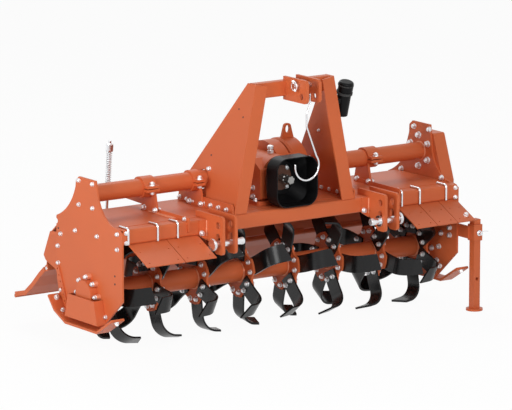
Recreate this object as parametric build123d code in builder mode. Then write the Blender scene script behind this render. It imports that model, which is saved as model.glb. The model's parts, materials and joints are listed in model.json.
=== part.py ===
"""Rotary tiller for a three-point hitch, drawn about its rotor axis.

X runs across the machine, +Y to the rear, +Z up.  Every piece is drawn with the rotor axis
through Y = 0, Z = 0, and the whole machine is set down on the floor when it is written out.
Lengths are millimetres and angles are degrees.
"""

from build123d import *
from math import atan2, cos, degrees, hypot, radians, sin, tan
import os

# ---- driving sizes -----------------------------------------------------------------------

# end plates and working width
inside_width = 1700
end_plate = 8
plate_front = -241
plate_rear = 251
shoulder_z = 300
neck_half = 76
left_neck_top = 473
right_neck_top = 529
seat_gap = 0.3

# rotor
tube_radius = 44
tube_wall = 8
flange_count = 8
end_flange_inset = 49.9
flange_plate = 10
flange_radius = 112
tines_per_flange = 6
shank_root = 56
tine_reach = 235
tine_plate = 8
tine_shank = 74
tine_trail = 26
tine_end_cut = 30
tine_sweep = 108
tine_bend = 66
flange_step = 12
first_tine_angle = -26.5
bearing_radius = 30
bearing_clearance = 0.05
plate_clearance = 3
rotor_end_gap = 6
rotor_end_disc = 20

# hood and beam
hood_sheet = 5
deck_top = 300
beam_height = 64
beam_depth = 62
beam_wall = 5
beam_corner = 10

# cross tube between the end plates
cross_tube_radius = 37
cross_tube_wall = 6
cross_tube_y = 23
cross_tube_z = 407

# three-point hitch
mast_height = 610
hitch_spread = 824
hitch_pin_radius = 14
hitch_pin_y = -330
hitch_pin_z = 211
hitch_upper_hole = 76
hitch_ear_gap = 50
hitch_ear_plate = 12
top_pin_radius = 12.5
top_pin_y = -311
top_ear_gap = 52
top_ear_plate = 12
pin_clearance = 0.3
running_clearance = 0.05

# mast
mast_plate = 8
mast_flange = 60
mast_foot_half = 305
mast_head_half = 198
mast_bar = 64

# gearbox and its input shaft
gearbox_half = 118
pto_radius = 17.5
pto_tip_y = -214
shield_half = 104
shield_corner = 52
shield_rim_y = -260
shield_wall = 4

# side drive case and bearing cover
case_depth = 64
bearing_cover = 34

# skids
skid_width = 62
skid_plate = 10

# tailboard and its spring rod
hinge_y = 352
hinge_z = 40
hinge_pin_radius = 7
hinge_clearance = 0.5
tailboard_sheet = 6
rod_radius = 7
rod_x = -516
spring_radius = 13
spring_wire = 3
spring_length = 142

# front guards
guard_sheet = 5
guard_gap = 3
guard_rod_radius = 5

# parking stand
leg_half = 16.5
leg_clearance = 0.6
leg_top = 158
leg_hole_pitch = 202
sleeve_wall = 5
sleeve_height = 70
foot_radius = 36
foot_plate = 9
stand_y = -318
stand_arm_z = 101
stand_arm_height = 54
stand_pin_radius = 7

# ---- places that follow --------------------------------------------------------------------

inside_half = inside_width / 2
outside_half = inside_half + end_plate
beam_bottom = deck_top - beam_height
top_pin_z = hitch_pin_z + mast_height
hitch_half = hitch_spread / 2
ear_offset = hitch_ear_gap / 2 + hitch_ear_plate
pto_z = cross_tube_z

# gearbox sections
gearbox_front = -134
gearbox_rear = 120
gearbox_top = pto_z + 82
gearbox_foot = 16
bevel_case_start = 26
bevel_case_width = 60
bevel_case_radius = 130
change_case_end = 178
change_case_width = 82
change_case_radius = 134
case_rim = 8
shaft_boss_radius = 76
input_boss_radius = 92
input_bore = 34
collar_radius = 29
collar_front = 6

pieces = {}


def keep(name, part):
    """Files a finished piece under its node's name."""
    part.label = name
    pieces[name] = part


def across(x):
    """The plane at x that looks along +X, with Y to its right and Z up."""
    return Plane.YZ.offset(x)


def sheet_outline(line, thickness):
    """Both faces of a sheet bent along the points of a line, its thickness to the left."""
    shifted = []
    for here in range(len(line)):
        before = line[max(here - 1, 0)]
        place = line[here]
        after = line[min(here + 1, len(line) - 1)]
        into = atan2(place[1] - before[1], place[0] - before[0]) if here else None
        out = atan2(after[1] - place[1], after[0] - place[0]) if after is not place else None
        into = out if into is None else into
        out = into if out is None else out
        middle = (into + out) / 2
        reach = thickness / cos((out - into) / 2)
        shifted.append((place[0] - reach * sin(middle), place[1] + reach * cos(middle)))
    return line + shifted[::-1]


# ---- end plates ----------------------------------------------------------------------------

# underside of the skid from its front tip to its rear tip: y, z
skid_line = [(plate_front - 4, -72), (-129, -142), (108, -142), (193, -103), (240, -48)]
skid_top = sheet_outline(skid_line, skid_plate)[: len(skid_line) - 1 : -1]


def draw_end_plate(x, neck_top):
    """One end plate: a neck that carries the cross tube, swept down to wide shoulders."""
    neck_front = cross_tube_y - neck_half
    neck_rear = cross_tube_y + neck_half
    neck_foot = cross_tube_z + 20
    with BuildPart() as plate:
        with BuildSketch(across(x)):
            with BuildLine():
                Polyline(
                    (neck_front - 6, neck_foot),
                    (neck_front + 6, neck_top),
                    (neck_rear - 22, neck_top),
                    (neck_rear, neck_top - 18),
                    (neck_rear + 4, neck_foot),
                )
                ThreePointArc(
                    (neck_rear + 4, neck_foot),
                    (neck_rear + 46, neck_foot - 72),
                    (plate_rear - 4, shoulder_z - 14),
                )
                Polyline(
                    (plate_rear - 4, shoulder_z - 14),
                    (plate_rear, shoulder_z - 20),
                    (plate_rear, 20),
                    skid_top[-1],
                    skid_top[-2],
                    skid_top[-3],
                    (skid_top[1][0] + 36, skid_top[1][1]),
                    (plate_front, 2),
                    (plate_front, shoulder_z - 14),
                    (plate_front + 30, shoulder_z),
                )
                ThreePointArc(
                    (plate_front + 30, shoulder_z),
                    (neck_front - 50, neck_foot - 86),
                    (neck_front - 6, neck_foot),
                )
            make_face()
            with Locations((plate_rear, 260)):
                Circle(11, mode=Mode.SUBTRACT)
            Circle(bearing_radius + plate_clearance, mode=Mode.SUBTRACT)
        extrude(amount=end_plate)
    return plate.part


keep("left_end_plate", draw_end_plate(-outside_half, left_neck_top))
keep("right_end_plate", draw_end_plate(inside_half, right_neck_top))


# ---- skids, their straps and the rear side plates -------------------------------------------


def draw_skid(x, name):
    """A runner bent from thick flat bar under one end plate."""
    with BuildPart() as skid:
        with BuildSketch(across(x)):
            with BuildLine():
                Polyline(*sheet_outline(skid_line, skid_plate), close=True)
            make_face()
        extrude(amount=skid_width)
    keep(name, skid.part)


draw_skid(-inside_half - skid_width, "left_skid")
draw_skid(inside_half, "right_skid")

strap_width = 24
strap_plate = 6
strap_foot = (184, -66)
strap_head = (plate_rear - 14, 62)


def draw_strap(x):
    """The holed flat bar that sets the height of a skid, on the outside of its plate."""
    length = hypot(strap_head[0] - strap_foot[0], strap_head[1] - strap_foot[1])
    tilt = degrees(atan2(strap_head[1] - strap_foot[1], strap_head[0] - strap_foot[0]))
    middle = ((strap_head[0] + strap_foot[0]) / 2, (strap_head[1] + strap_foot[1]) / 2)
    with BuildPart() as strap:
        with BuildSketch(across(x)):
            with Locations(Location(middle, tilt)):
                SlotOverall(length + strap_width, strap_width)
                with GridLocations(length / 5, 0, 6, 1):
                    Circle(4, mode=Mode.SUBTRACT)
        extrude(amount=strap_plate)
    return strap.part


rear_plate_sheet = 4
rear_plate_outline = [
    (plate_rear - 30, 215),
    (plate_rear + 62, 205),
    (plate_rear + 114, 96),
    (plate_rear + 97, 76),
    (plate_rear + 10, 46),
    (plate_rear - 30, 46),
]


def draw_rear_side_plate(x):
    """The wing that closes the gap between an end plate and the tailboard."""
    with BuildPart() as wing:
        with BuildSketch(across(x)) as outline:
            with BuildLine():
                Polyline(*rear_plate_outline, close=True)
            make_face()
            fillet(outline.vertices(), 8)
        extrude(amount=rear_plate_sheet)
    return wing.part


keep(
    "skid_straps",
    Compound([draw_strap(-outside_half - strap_plate), draw_strap(outside_half)]),
)
keep(
    "rear_side_plates",
    Compound(
        [
            draw_rear_side_plate(-inside_half),
            draw_rear_side_plate(inside_half - rear_plate_sheet),
        ]
    ),
)

# ---- hood, front beam and deck ribs ---------------------------------------------------------

hood_half = inside_half - rear_plate_sheet
beam_rear = plate_front + beam_depth
knuckle_radius = hinge_pin_radius + 6
# top of the sheet from the beam over the deck and down to the tailboard's hinge: y, z
hood_line = [
    (hinge_y - 2, hinge_z + knuckle_radius + 2),
    (332, 150),
    (308, 206),
    (249, 254),
    (176, deck_top),
    (beam_rear, deck_top),
]
knuckle_count = 9
knuckle_gap = 1
knuckle_length = 2 * hood_half / knuckle_count


def draw_knuckles(first, bore, web_y, web_z):
    """Every other hinge knuckle from the left end, each with a web to the sheet it carries."""
    with BuildPart() as knuckles:
        for number in range(first, knuckle_count, 2):
            start = -hood_half + number * knuckle_length + knuckle_gap
            with BuildSketch(across(start)):
                with Locations((hinge_y, hinge_z)):
                    Circle(knuckle_radius)
                    with Locations((web_y, web_z)):
                        Rectangle(10, 14)
                    Circle(bore, mode=Mode.SUBTRACT)
            extrude(amount=knuckle_length - 2 * knuckle_gap)
    return knuckles.part


with BuildPart() as hood:
    with BuildSketch(across(-hood_half)) as section:
        with BuildLine():
            Polyline(*sheet_outline(hood_line, hood_sheet), close=True)
        make_face()
    extrude(amount=2 * hood_half)
    add(draw_knuckles(0, hinge_pin_radius + pin_clearance, -5, 10))
keep("rotor_hood", hood.part)

with BuildPart() as hinge_pin:
    with BuildSketch(across(-hood_half)):
        with Locations((hinge_y, hinge_z)):
            Circle(hinge_pin_radius)
    extrude(amount=2 * hood_half)
keep("tailboard_hinge_pin", hinge_pin.part)

with BuildPart() as beam:
    with BuildSketch(across(-inside_half)):
        with Locations((plate_front + beam_depth / 2, beam_bottom + beam_height / 2)):
            RectangleRounded(beam_depth, beam_height, beam_corner)
            RectangleRounded(
                beam_depth - 2 * beam_wall,
                beam_height - 2 * beam_wall,
                beam_corner - beam_wall,
                mode=Mode.SUBTRACT,
            )
    extrude(amount=inside_width)
keep("front_beam", beam.part)

rib_plate = 8
rib_height = 17
rib_x = 541
clamp_plate = 10
clamp_band = 8
clamp_width = 60
clamp_outer_radius = cross_tube_radius + clamp_band


def draw_deck_rib(x):
    """A flat bar on edge that stiffens the deck under an outer clamp."""
    with BuildPart() as rib:
        with BuildSketch(across(x)):
            with BuildLine():
                Polyline(
                    (plate_front - 10, beam_bottom + 22),
                    (plate_front - 10, deck_top + rib_height),
                    (40, deck_top + rib_height),
                    (60, deck_top),
                    (plate_front, deck_top),
                    (plate_front, beam_bottom + 22),
                    close=True,
                )
            make_face()
        extrude(amount=rib_plate)
    return rib.part




def draw_tube_clamp(x, width):
    """A band round the cross tube with bolted ears, on a foot that stands on the deck."""
    with BuildPart() as clamp:
        with BuildSketch(across(x)):
            with Locations((cross_tube_y, cross_tube_z)):
                Circle(clamp_outer_radius)
                with Locations((-clamp_outer_radius - 6, 0)):
                    Rectangle(34, 26)
                Circle(cross_tube_radius, mode=Mode.SUBTRACT)
                with Locations((-clamp_outer_radius, 0)):
                    Rectangle(60, 4, mode=Mode.SUBTRACT)
        extrude(amount=width)
        with BuildSketch(across(x)):
            with BuildLine():
                Polyline(
                    (cross_tube_y - 40, cross_tube_z - 20),
                    (cross_tube_y + 40, cross_tube_z - 20),
                    (cross_tube_y + 60, deck_top),
                    (cross_tube_y - 60, deck_top),
                    close=True,
                )
            make_face()
            with Locations((cross_tube_y, cross_tube_z)):
                Circle(cross_tube_radius, mode=Mode.SUBTRACT)
        extrude(amount=clamp_plate)
    return clamp.part


def both_sides(part):
    """A piece and its mirror image on the other side of the machine."""
    return Compound([part, mirror(part, about=Plane.YZ)])


inner_clamp_width = 42
inner_clamp_x = mast_foot_half + rib_plate + 1

mast_rib_height = 42
with BuildPart() as mast_rib:
    with BuildSketch(across(mast_foot_half + seat_gap)) as outline:
        with BuildLine():
            Polyline(
                (plate_front + 4, deck_top),
                (plate_front + 4, deck_top + mast_rib_height - 10),
                (plate_front + 14, deck_top + mast_rib_height),
                (cross_tube_y + 90, deck_top + mast_rib_height),
                (cross_tube_y + 130, deck_top),
                close=True,
            )
        make_face()
    extrude(amount=rib_plate)

deck_rib = both_sides(draw_deck_rib(rib_x - rib_plate))
keep("deck_ribs", Compound([*deck_rib.solids(), *both_sides(mast_rib.part).solids()]))
keep("outer_tube_clamps", both_sides(draw_tube_clamp(rib_x, clamp_width)))
keep("inner_tube_clamps", both_sides(draw_tube_clamp(inner_clamp_x, inner_clamp_width)))

with BuildPart() as cross_tube:
    with BuildSketch(across(-inside_half)):
        with Locations((cross_tube_y, cross_tube_z)):
            Circle(cross_tube_radius)
            Circle(cross_tube_radius - cross_tube_wall, mode=Mode.SUBTRACT)
    extrude(amount=inside_half - gearbox_half)
    with BuildSketch(across(change_case_end)):
        with Locations((cross_tube_y, cross_tube_z)):
            Circle(cross_tube_radius)
            Circle(cross_tube_radius - cross_tube_wall, mode=Mode.SUBTRACT)
    extrude(amount=inside_half - change_case_end)
keep("cross_tube", cross_tube.part)

# ---- mast ------------------------------------------------------------------------------------

mast_front = plate_front
mast_foot_z = deck_top
mast_head_z = top_pin_z + 10
mast_bar_bottom = mast_head_z - mast_bar
lean = degrees(atan2(mast_foot_half - mast_head_half, mast_head_z - mast_foot_z))
leg_rise = hypot(mast_foot_half - mast_head_half, mast_head_z - mast_foot_z)
mast_head_depth = 57
mast_rear_foot = 176
tube_hole_clearance = 4


def draw_mast_leg():
    """One leg of the A: a tapered side plate with its front edge folded in and a foot plate."""
    side = Plane(
        origin=(-mast_foot_half, 0, mast_foot_z),
        x_dir=(0, 1, 0),
        z_dir=(cos(radians(lean)), 0, -sin(radians(lean))),
    )
    with BuildPart() as leg:
        with BuildSketch(side):
            with BuildLine():
                Polyline(
                    (mast_front, 0),
                    (mast_front, leg_rise),
                    (mast_front + mast_head_depth, leg_rise),
                    (mast_rear_foot, 60),
                    (mast_rear_foot, 0),
                    close=True,
                )
            make_face()
            with Locations((cross_tube_y, (cross_tube_z - mast_foot_z) / cos(radians(lean)))):
                Circle(cross_tube_radius + tube_hole_clearance, mode=Mode.SUBTRACT)
        extrude(amount=mast_plate)
        with BuildSketch(side):
            with Locations((mast_front + mast_plate / 2, leg_rise / 2)):
                Rectangle(mast_plate, leg_rise)
        extrude(amount=mast_flange)
        split(bisect_by=Plane.XY.offset(mast_foot_z), keep=Keep.TOP)
        split(bisect_by=Plane.XY.offset(mast_head_z), keep=Keep.BOTTOM)
    return leg.part


left_leg = draw_mast_leg()
keep("left_mast_leg", left_leg)
keep("right_mast_leg", mirror(left_leg, about=Plane.YZ))

mast_bar_half = mast_head_half + 24
leg_inner_face = Plane(
    origin=(-mast_foot_half + mast_plate / cos(radians(lean)) + seat_gap, 0, mast_foot_z),
    x_dir=(0, 1, 0),
    z_dir=(cos(radians(lean)), 0, -sin(radians(lean))),
)
with BuildPart() as mast_bar_tube:
    with BuildSketch(across(-mast_bar_half)):
        with Locations((mast_front + mast_head_depth / 2 + mast_plate, mast_head_z - mast_bar / 2)):
            RectangleRounded(mast_head_depth - 2 * mast_plate, mast_bar, 6)
            RectangleRounded(
                mast_head_depth - 2 * mast_plate - 10, mast_bar - 10, 3, mode=Mode.SUBTRACT
            )
    extrude(amount=2 * mast_bar_half)
    split(bisect_by=leg_inner_face, keep=Keep.TOP)
    mirror(about=Plane.YZ, mode=Mode.INTERSECT)
keep("mast_crossbar", mast_bar_tube.part)

# ---- hitch ears and pins -----------------------------------------------------------------------

top_ear_front = top_pin_y - 64
top_ear_rear = mast_front + 32
top_ear_low = top_pin_z - 70
top_ear_high = top_pin_z + 28
top_lower_hole = (top_pin_y - 27, top_pin_z - 43)
mast_bar_face = mast_front + mast_plate + mast_plate


def draw_top_ear():
    """One ear of the top link hitch, notched round the crossbar."""
    with BuildPart() as ear:
        with BuildSketch(across(top_ear_gap / 2)) as outline:
            with BuildLine():
                Polyline(
                    (top_ear_front, top_ear_low),
                    (top_ear_rear, top_ear_low),
                    (top_ear_rear, top_ear_high),
                    (top_ear_front, top_ear_high),
                    close=True,
                )
            make_face()
            fillet(outline.vertices().sort_by(Axis.X)[:2], 18)
            with Locations((top_pin_y, top_pin_z), top_lower_hole):
                Circle(top_pin_radius + pin_clearance, mode=Mode.SUBTRACT)
            with Locations((top_ear_rear + 30, (mast_head_z + mast_bar_bottom) / 2)):
                Rectangle(
                    2 * (top_ear_rear + 30 - mast_bar_face),
                    mast_bar,
                    mode=Mode.SUBTRACT,
                )
        extrude(amount=top_ear_plate)
    return ear.part


keep("top_hitch_ears", both_sides(draw_top_ear()))

top_pin_half = top_ear_gap / 2 + top_ear_plate + 22
with BuildPart() as top_pin:
    with BuildSketch(across(-top_pin_half)):
        with Locations((top_pin_y, top_pin_z)):
            Circle(top_pin_radius)
    extrude(amount=2 * top_pin_half)
    with BuildSketch(across(top_pin_half - 14)):
        with Locations((top_pin_y, top_pin_z)):
            Circle(top_pin_radius + 6)
    extrude(amount=8)
keep("top_hitch_pin", top_pin.part)

ear_front = hitch_pin_y - 35
ear_low = hitch_pin_z - 44
ear_high = deck_top + 26
ear_rear = plate_front + beam_depth + 10
saddle_plate = 8
saddle_half = 72
slot_rise = 28


def draw_lower_hitch():
    """Two ears with a slotted hole each, welded over and in front of the beam by a saddle."""
    with BuildPart() as hitch:
        for side in (hitch_half - ear_offset, hitch_half + hitch_ear_gap / 2):
            with BuildSketch(across(side)) as outline:
                with BuildLine():
                    Polyline(
                        (ear_front, ear_low),
                        (ear_front, ear_high),
                        (ear_rear, ear_high),
                        (ear_rear, deck_top),
                        (plate_front, deck_top),
                        (plate_front, beam_bottom - 6),
                        (hitch_pin_y + 16, ear_low),
                        close=True,
                    )
                make_face()
                fillet(outline.vertices().sort_by(Axis.X)[:2], 16)
                with Locations((hitch_pin_y, hitch_pin_z + hitch_upper_hole)):
                    Circle(hitch_pin_radius + pin_clearance, mode=Mode.SUBTRACT)
                with Locations((hitch_pin_y, hitch_pin_z + slot_rise / 2)):
                    SlotCenterToCenter(
                        slot_rise,
                        2 * (hitch_pin_radius + pin_clearance),
                        rotation=90,
                        mode=Mode.SUBTRACT,
                    )
            extrude(amount=hitch_ear_plate)
        with BuildSketch(Plane.XZ.offset(-plate_front)):
            with BuildLine():
                Polyline(
                    (hitch_half - saddle_half, deck_top),
                    (hitch_half + saddle_half, deck_top),
                    (hitch_half + saddle_half, beam_bottom),
                    (hitch_half + ear_offset, beam_bottom - 22),
                    (hitch_half - ear_offset, beam_bottom - 22),
                    (hitch_half - saddle_half, beam_bottom),
                    close=True,
                )
            make_face()
        extrude(amount=saddle_plate)
    return hitch.part


right_hitch = draw_lower_hitch()
keep("right_lower_hitch", right_hitch)
keep("left_lower_hitch", mirror(right_hitch, about=Plane.YZ))

pin_head_radius = 24
pin_head = 12
pin_outboard = 68
pin_inboard = 88
pin_collar = 8


def draw_lower_pin():
    """A hitch pin with its head outboard and a collar against the inboard ear."""
    # steps along the pin: start from the hitch's middle, length, radius
    steps = [
        (-pin_inboard, pin_inboard + pin_outboard, hitch_pin_radius),
        (pin_outboard - pin_head, pin_head, pin_head_radius),
        (-ear_offset - seat_gap - pin_collar, pin_collar, pin_head_radius),
    ]
    with BuildPart() as pin:
        for start, length, radius in steps:
            with BuildSketch(across(hitch_half + start)):
                with Locations((hitch_pin_y, hitch_pin_z)):
                    Circle(radius)
            extrude(amount=length)
    return pin.part


right_pin = draw_lower_pin()
keep("right_lower_pin", right_pin)
keep("left_lower_pin", mirror(right_pin, about=Plane.YZ))

# ---- gearbox, shield and side drive -------------------------------------------------------------



def draw_change_case():
    """The round case of the change gears, its rims chamfered."""
    with BuildPart() as case:
        with BuildSketch(across(change_case_end - change_case_width)):
            with Locations((cross_tube_y, pto_z)):
                Circle(change_case_radius)
        extrude(amount=change_case_width)
        chamfer(case.edges(), case_rim)
    return case.part


with BuildPart() as gearbox:
    with BuildSketch(across(-gearbox_half + 18)) as casting:
        with BuildLine():
            Polyline(
                (gearbox_front, deck_top + 20),
                (gearbox_front, pto_z + 40),
                (gearbox_front + 60, gearbox_top),
                (gearbox_rear - 40, gearbox_top),
                (gearbox_rear, pto_z + 30),
                (gearbox_rear, deck_top + 20),
                close=True,
            )
        make_face()
        fillet(casting.vertices(), 12)
    extrude(amount=2 * gearbox_half - 36)
    # bosses for the shafts, and the round cases of the bevel wheel and the change gears
    with BuildSketch(across(-gearbox_half)):
        with Locations((cross_tube_y, cross_tube_z)):
            Circle(shaft_boss_radius)
    extrude(amount=gearbox_half + change_case_end)
    with BuildSketch(across(bevel_case_start)) as bevel_case:
        with Locations((cross_tube_y, pto_z)):
            Circle(bevel_case_radius)
    extrude(amount=bevel_case_width)
    add(draw_change_case())
    with BuildSketch(Plane.XZ.offset(-gearbox_rear)):
        with Locations((0, pto_z)):
            Circle(input_boss_radius)
    extrude(amount=gearbox_rear - gearbox_front - 8)
    split(bisect_by=Plane.XY.offset(deck_top), keep=Keep.TOP)
    # foot on the deck
    with BuildSketch(Plane.XY.offset(deck_top)):
        with Locations(((change_case_end - gearbox_half) / 2, (gearbox_front + gearbox_rear) / 2)):
            RectangleRounded(
                gearbox_half + change_case_end, gearbox_rear - gearbox_front + 20, gearbox_foot
            )
    extrude(amount=gearbox_foot)
    # bore for the input shaft
    with BuildSketch(Plane.XZ.offset(-gearbox_front)):
        with Locations((0, pto_z)):
            Circle(collar_radius + running_clearance)
    extrude(amount=-input_bore, mode=Mode.SUBTRACT)
keep("gearbox", gearbox.part)

shield_back_y = gearbox_front - seat_gap
shield_straight = 74
shield_back_radius = 74
bolt_plate_bore = 34


def draw_shield_form(inset):
    """The shield's solid form: a rounded square mouth that narrows to a round back."""
    half = shield_half - inset
    with BuildPart() as form:
        with BuildSketch(Plane.XZ.offset(-shield_rim_y)):
            with Locations((0, pto_z)):
                RectangleRounded(2 * half, 2 * half, shield_corner - inset)
        extrude(amount=-shield_straight)
        with BuildSketch(Plane.XZ.offset(-shield_rim_y - shield_straight)):
            with Locations((0, pto_z)):
                RectangleRounded(2 * half, 2 * half, shield_corner - inset)
        back_half = shield_back_radius - inset
        with BuildSketch(Plane.XZ.offset(-shield_back_y + (inset and shield_wall))):
            with Locations((0, pto_z)):
                RectangleRounded(2 * back_half, 2 * back_half, back_half - 4)
        loft()
    return form.part


with BuildPart() as shield:
    add(draw_shield_form(0))
    add(draw_shield_form(shield_wall), mode=Mode.SUBTRACT)
    with BuildSketch(Plane.XZ.offset(-shield_back_y - 2)):
        with Locations((0, pto_z)):
            Circle(bolt_plate_bore)
    extrude(amount=20, mode=Mode.SUBTRACT)
keep("pto_shield", shield.part)

with BuildPart() as pto_stub:
    with BuildSketch(Plane.XZ.offset(-gearbox_front - input_bore + 4)):
        with Locations((0, pto_z)):
            Circle(collar_radius)
    extrude(amount=input_bore - 4 + collar_front)
    with BuildSketch(Plane.XZ.offset(-gearbox_front)):
        with Locations((0, pto_z)):
            Circle(pto_radius)
    extrude(amount=gearbox_front - pto_tip_y)
    chamfer(pto_stub.faces().sort_by(Axis.Y)[0].edges(), 3)
keep("pto_stub", pto_stub.part)

eye_plate = 12
eye_x = 138
eye_base = pto_z + change_case_radius - 12
with BuildPart() as lifting_eye:
    with BuildSketch(Plane.XZ.offset(-cross_tube_y + eye_plate / 2)) as outline:
        with BuildLine():
            Polyline(
                (eye_x - 34, eye_base),
                (eye_x - 14, eye_base + 72),
                (eye_x + 14, eye_base + 72),
                (eye_x + 34, eye_base),
                close=True,
            )
        make_face()
        fillet(outline.vertices().sort_by(Axis.Y)[2:], 14)
        with Locations((eye_x, eye_base + 48)):
            Ellipse(11, 17, mode=Mode.SUBTRACT)
    extrude(amount=eye_plate)
    add(gearbox.part, mode=Mode.SUBTRACT)
keep("lifting_eye", lifting_eye.part)

case_top = 491
case_low_radius = 114
case_bore_depth = 36
with BuildPart() as side_case:
    with BuildSketch(across(outside_half)) as outline:
        with BuildLine():
            Polyline(
                (-case_low_radius, 0),
                (cross_tube_y - 152, shoulder_z - 6),
                (cross_tube_y - 82, case_top),
                (cross_tube_y + 82, case_top),
                (cross_tube_y + 152, shoulder_z - 6),
                (case_low_radius, 0),
            )
            RadiusArc((case_low_radius, 0), (-case_low_radius, 0), case_low_radius)
        make_face()
        fillet(outline.vertices().filter_by(lambda v: v.Y > 100), 8)
    extrude(amount=case_depth)
    chamfer(side_case.faces().sort_by(Axis.X)[-1].edges(), 5)
    with BuildSketch(across(outside_half)):
        Circle(bearing_radius + bearing_clearance)
    extrude(amount=case_bore_depth, mode=Mode.SUBTRACT)
keep("side_drive_case", side_case.part)

# ---- bearing end ----------------------------------------------------------------------------------

cover_radius = 56
guard_top_z = -14
guard_low_z = -112
guard_top_half = 97
guard_low_half = 122
guard_depth = 46
guard_wall = 4
guard_slope = degrees(atan2(guard_top_z - guard_low_z, guard_low_half - guard_top_half))
with BuildPart() as bearing_housing:
    with BuildSketch(across(-outside_half - bearing_cover)):
        Circle(cover_radius)
        with Locations((0, -cover_radius / 2)):
            Rectangle(2 * cover_radius, cover_radius)
    extrude(amount=bearing_cover)
    with BuildSketch(across(-outside_half - bearing_cover + 10)):
        Circle(bearing_radius + bearing_clearance)
    extrude(amount=bearing_cover - 10, mode=Mode.SUBTRACT)
keep("bearing_housing", bearing_housing.part)

with BuildPart() as bearing_guard:
    with BuildSketch(across(-outside_half - guard_depth)):
        with Locations((0, (guard_top_z + guard_low_z) / 2)):
            Trapezoid(2 * guard_low_half, guard_top_z - guard_low_z, guard_slope)
    extrude(amount=guard_depth)
    # open behind and on top, so that the cover stands out above it
    with BuildSketch(across(-outside_half - guard_depth + guard_wall)):
        with Locations((0, (guard_top_z + guard_low_z) / 2 + guard_wall)):
            Trapezoid(2 * (guard_low_half - guard_wall), guard_top_z - guard_low_z, guard_slope)
    extrude(amount=guard_depth - guard_wall, mode=Mode.SUBTRACT)
keep("bearing_guard", bearing_guard.part)

# ---- rotor ------------------------------------------------------------------------------------------

tube_half = inside_half - rotor_end_gap
journal_end = outside_half + bearing_cover - 12
flange_first = -inside_half + end_flange_inset
flange_pitch = -2 * flange_first / (flange_count - 1)


def flange_x(number):
    """The middle of one flange along the rotor."""
    return flange_first + number * flange_pitch


with BuildPart() as rotor_shaft:
    with BuildSketch(across(-tube_half)):
        Circle(tube_radius)
    extrude(amount=2 * tube_half)
    with BuildSketch(across(-journal_end)):
        Circle(bearing_radius)
    extrude(amount=2 * journal_end)
    with BuildSketch(across(-tube_half + rotor_end_disc)):
        Circle(tube_radius - tube_wall)
    extrude(amount=2 * (tube_half - rotor_end_disc), mode=Mode.SUBTRACT)
    for number in range(flange_count):
        with BuildSketch(across(flange_x(number) - flange_plate / 2)):
            Circle(flange_radius)
            with PolarLocations(flange_radius + 26, tines_per_flange, first_tine_angle + number * flange_step + 30 + 90):
                Circle(40, mode=Mode.SUBTRACT)
        extrude(amount=flange_plate)
keep("rotor_shaft", rotor_shaft.part)

shank_gap = 0.2


def draw_tine(hand):
    """A tine that points straight down, its blade bent towards hand (+1 right, -1 left)."""
    with BuildPart() as tine:
        with BuildSketch(Plane.XZ.offset(tine_shank / 2 + tine_trail)) as profile:
            with BuildLine():
                Polyline(
                    (0, -shank_root),
                    (0, -tine_reach + 14),
                    (tine_sweep, -tine_reach),
                    (tine_sweep, -tine_reach + tine_plate),
                    (tine_plate, -tine_reach + 14 + tine_plate),
                    (tine_plate, -shank_root),
                    close=True,
                )
            make_face()
            bend_start = -tine_reach + tine_bend
            corners = profile.vertices().filter_by(lambda v: v.Y < bend_start)
            fillet(corners.filter_by(lambda v: v.X < 1), tine_bend)
            inner = profile.vertices().filter_by(
                lambda v: v.Y < bend_start and abs(v.X - tine_plate) < 0.1
            )
            fillet(inner, tine_bend - tine_plate)
        extrude(amount=-tine_shank - tine_trail)
        # sickle outline: the leading edge sweeps back towards the tip
        with BuildSketch(Plane.YZ):
            with BuildLine():
                lead = ThreePointArc(
                    (tine_shank / 2, -shank_root),
                    (tine_shank / 2 - tine_trail / 4, -(shank_root + tine_reach) / 2),
                    (tine_shank / 2 - tine_trail, -tine_reach - 1),
                )
                trail = ThreePointArc(
                    (-tine_shank / 2 - tine_trail, -tine_reach - 1),
                    (-tine_shank / 2 - tine_trail / 4, -(shank_root + tine_reach) / 2),
                    (-tine_shank / 2, -shank_root),
                )
                Line(lead @ 1, trail @ 0)
                Line(trail @ 1, lead @ 0)
            make_face()
        extrude(amount=tine_sweep, mode=Mode.INTERSECT)
        # oblique end, longer at the leading edge
        with BuildSketch(Plane.XY.offset(-tine_reach - 1)):
            with BuildLine():
                Polyline(
                    (tine_sweep, tine_shank / 2 - tine_trail),
                    (tine_sweep + 1, -tine_shank),
                    (tine_sweep - tine_end_cut, -tine_shank),
                    close=True,
                )
            make_face()
        extrude(amount=3 * tine_plate, mode=Mode.SUBTRACT)
    shape = tine.part
    if hand < 0:
        shape = mirror(shape, about=Plane.YZ)
    return shape


def place_tines(hand):
    """All the tines of one hand: three on each flange, the end flanges' bent inward."""
    placed = []
    tine = draw_tine(hand)
    for number in range(flange_count):
        face = flange_x(number) + hand * (flange_plate / 2 + shank_gap)
        for turn in range(tines_per_flange):
            own = hand if number not in (0, flange_count - 1) else (1 if number == 0 else -1)
            if own != hand or (turn % 2 == (1 if hand > 0 else 0) and number not in (0, flange_count - 1)):
                continue
            angle = first_tine_angle + number * flange_step + turn * 360 / tines_per_flange
            placed.append(Pos(face, 0, 0) * Rot(angle, 0, 0) * tine)
    return Compound(placed)


keep("right_hand_tines", place_tines(1))
keep("left_hand_tines", place_tines(-1))

# ---- tailboard and its spring rod ------------------------------------------------------------------

tail_half = hood_half - 5
tail_line = [
    (hinge_y + 16, hinge_z - 16),
    (hinge_y + 54, hinge_z - 46),
    (hinge_y + 112, hinge_z - 100),
    (hinge_y + 170, hinge_z - 145),
    (hinge_y + 253, hinge_z - 166),
]
tail_rib = 6
tail_rib_height = 20
tail_rib_places = (-tail_half, -tail_half / 3, tail_half / 3 - tail_rib, tail_half - tail_rib)
tail_tube_radius = 8
lug_y = hinge_y + 68
lug_z = hinge_z - 32
lug_pin_radius = 6
lug_plate = 6
rod_eye = 12

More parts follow.
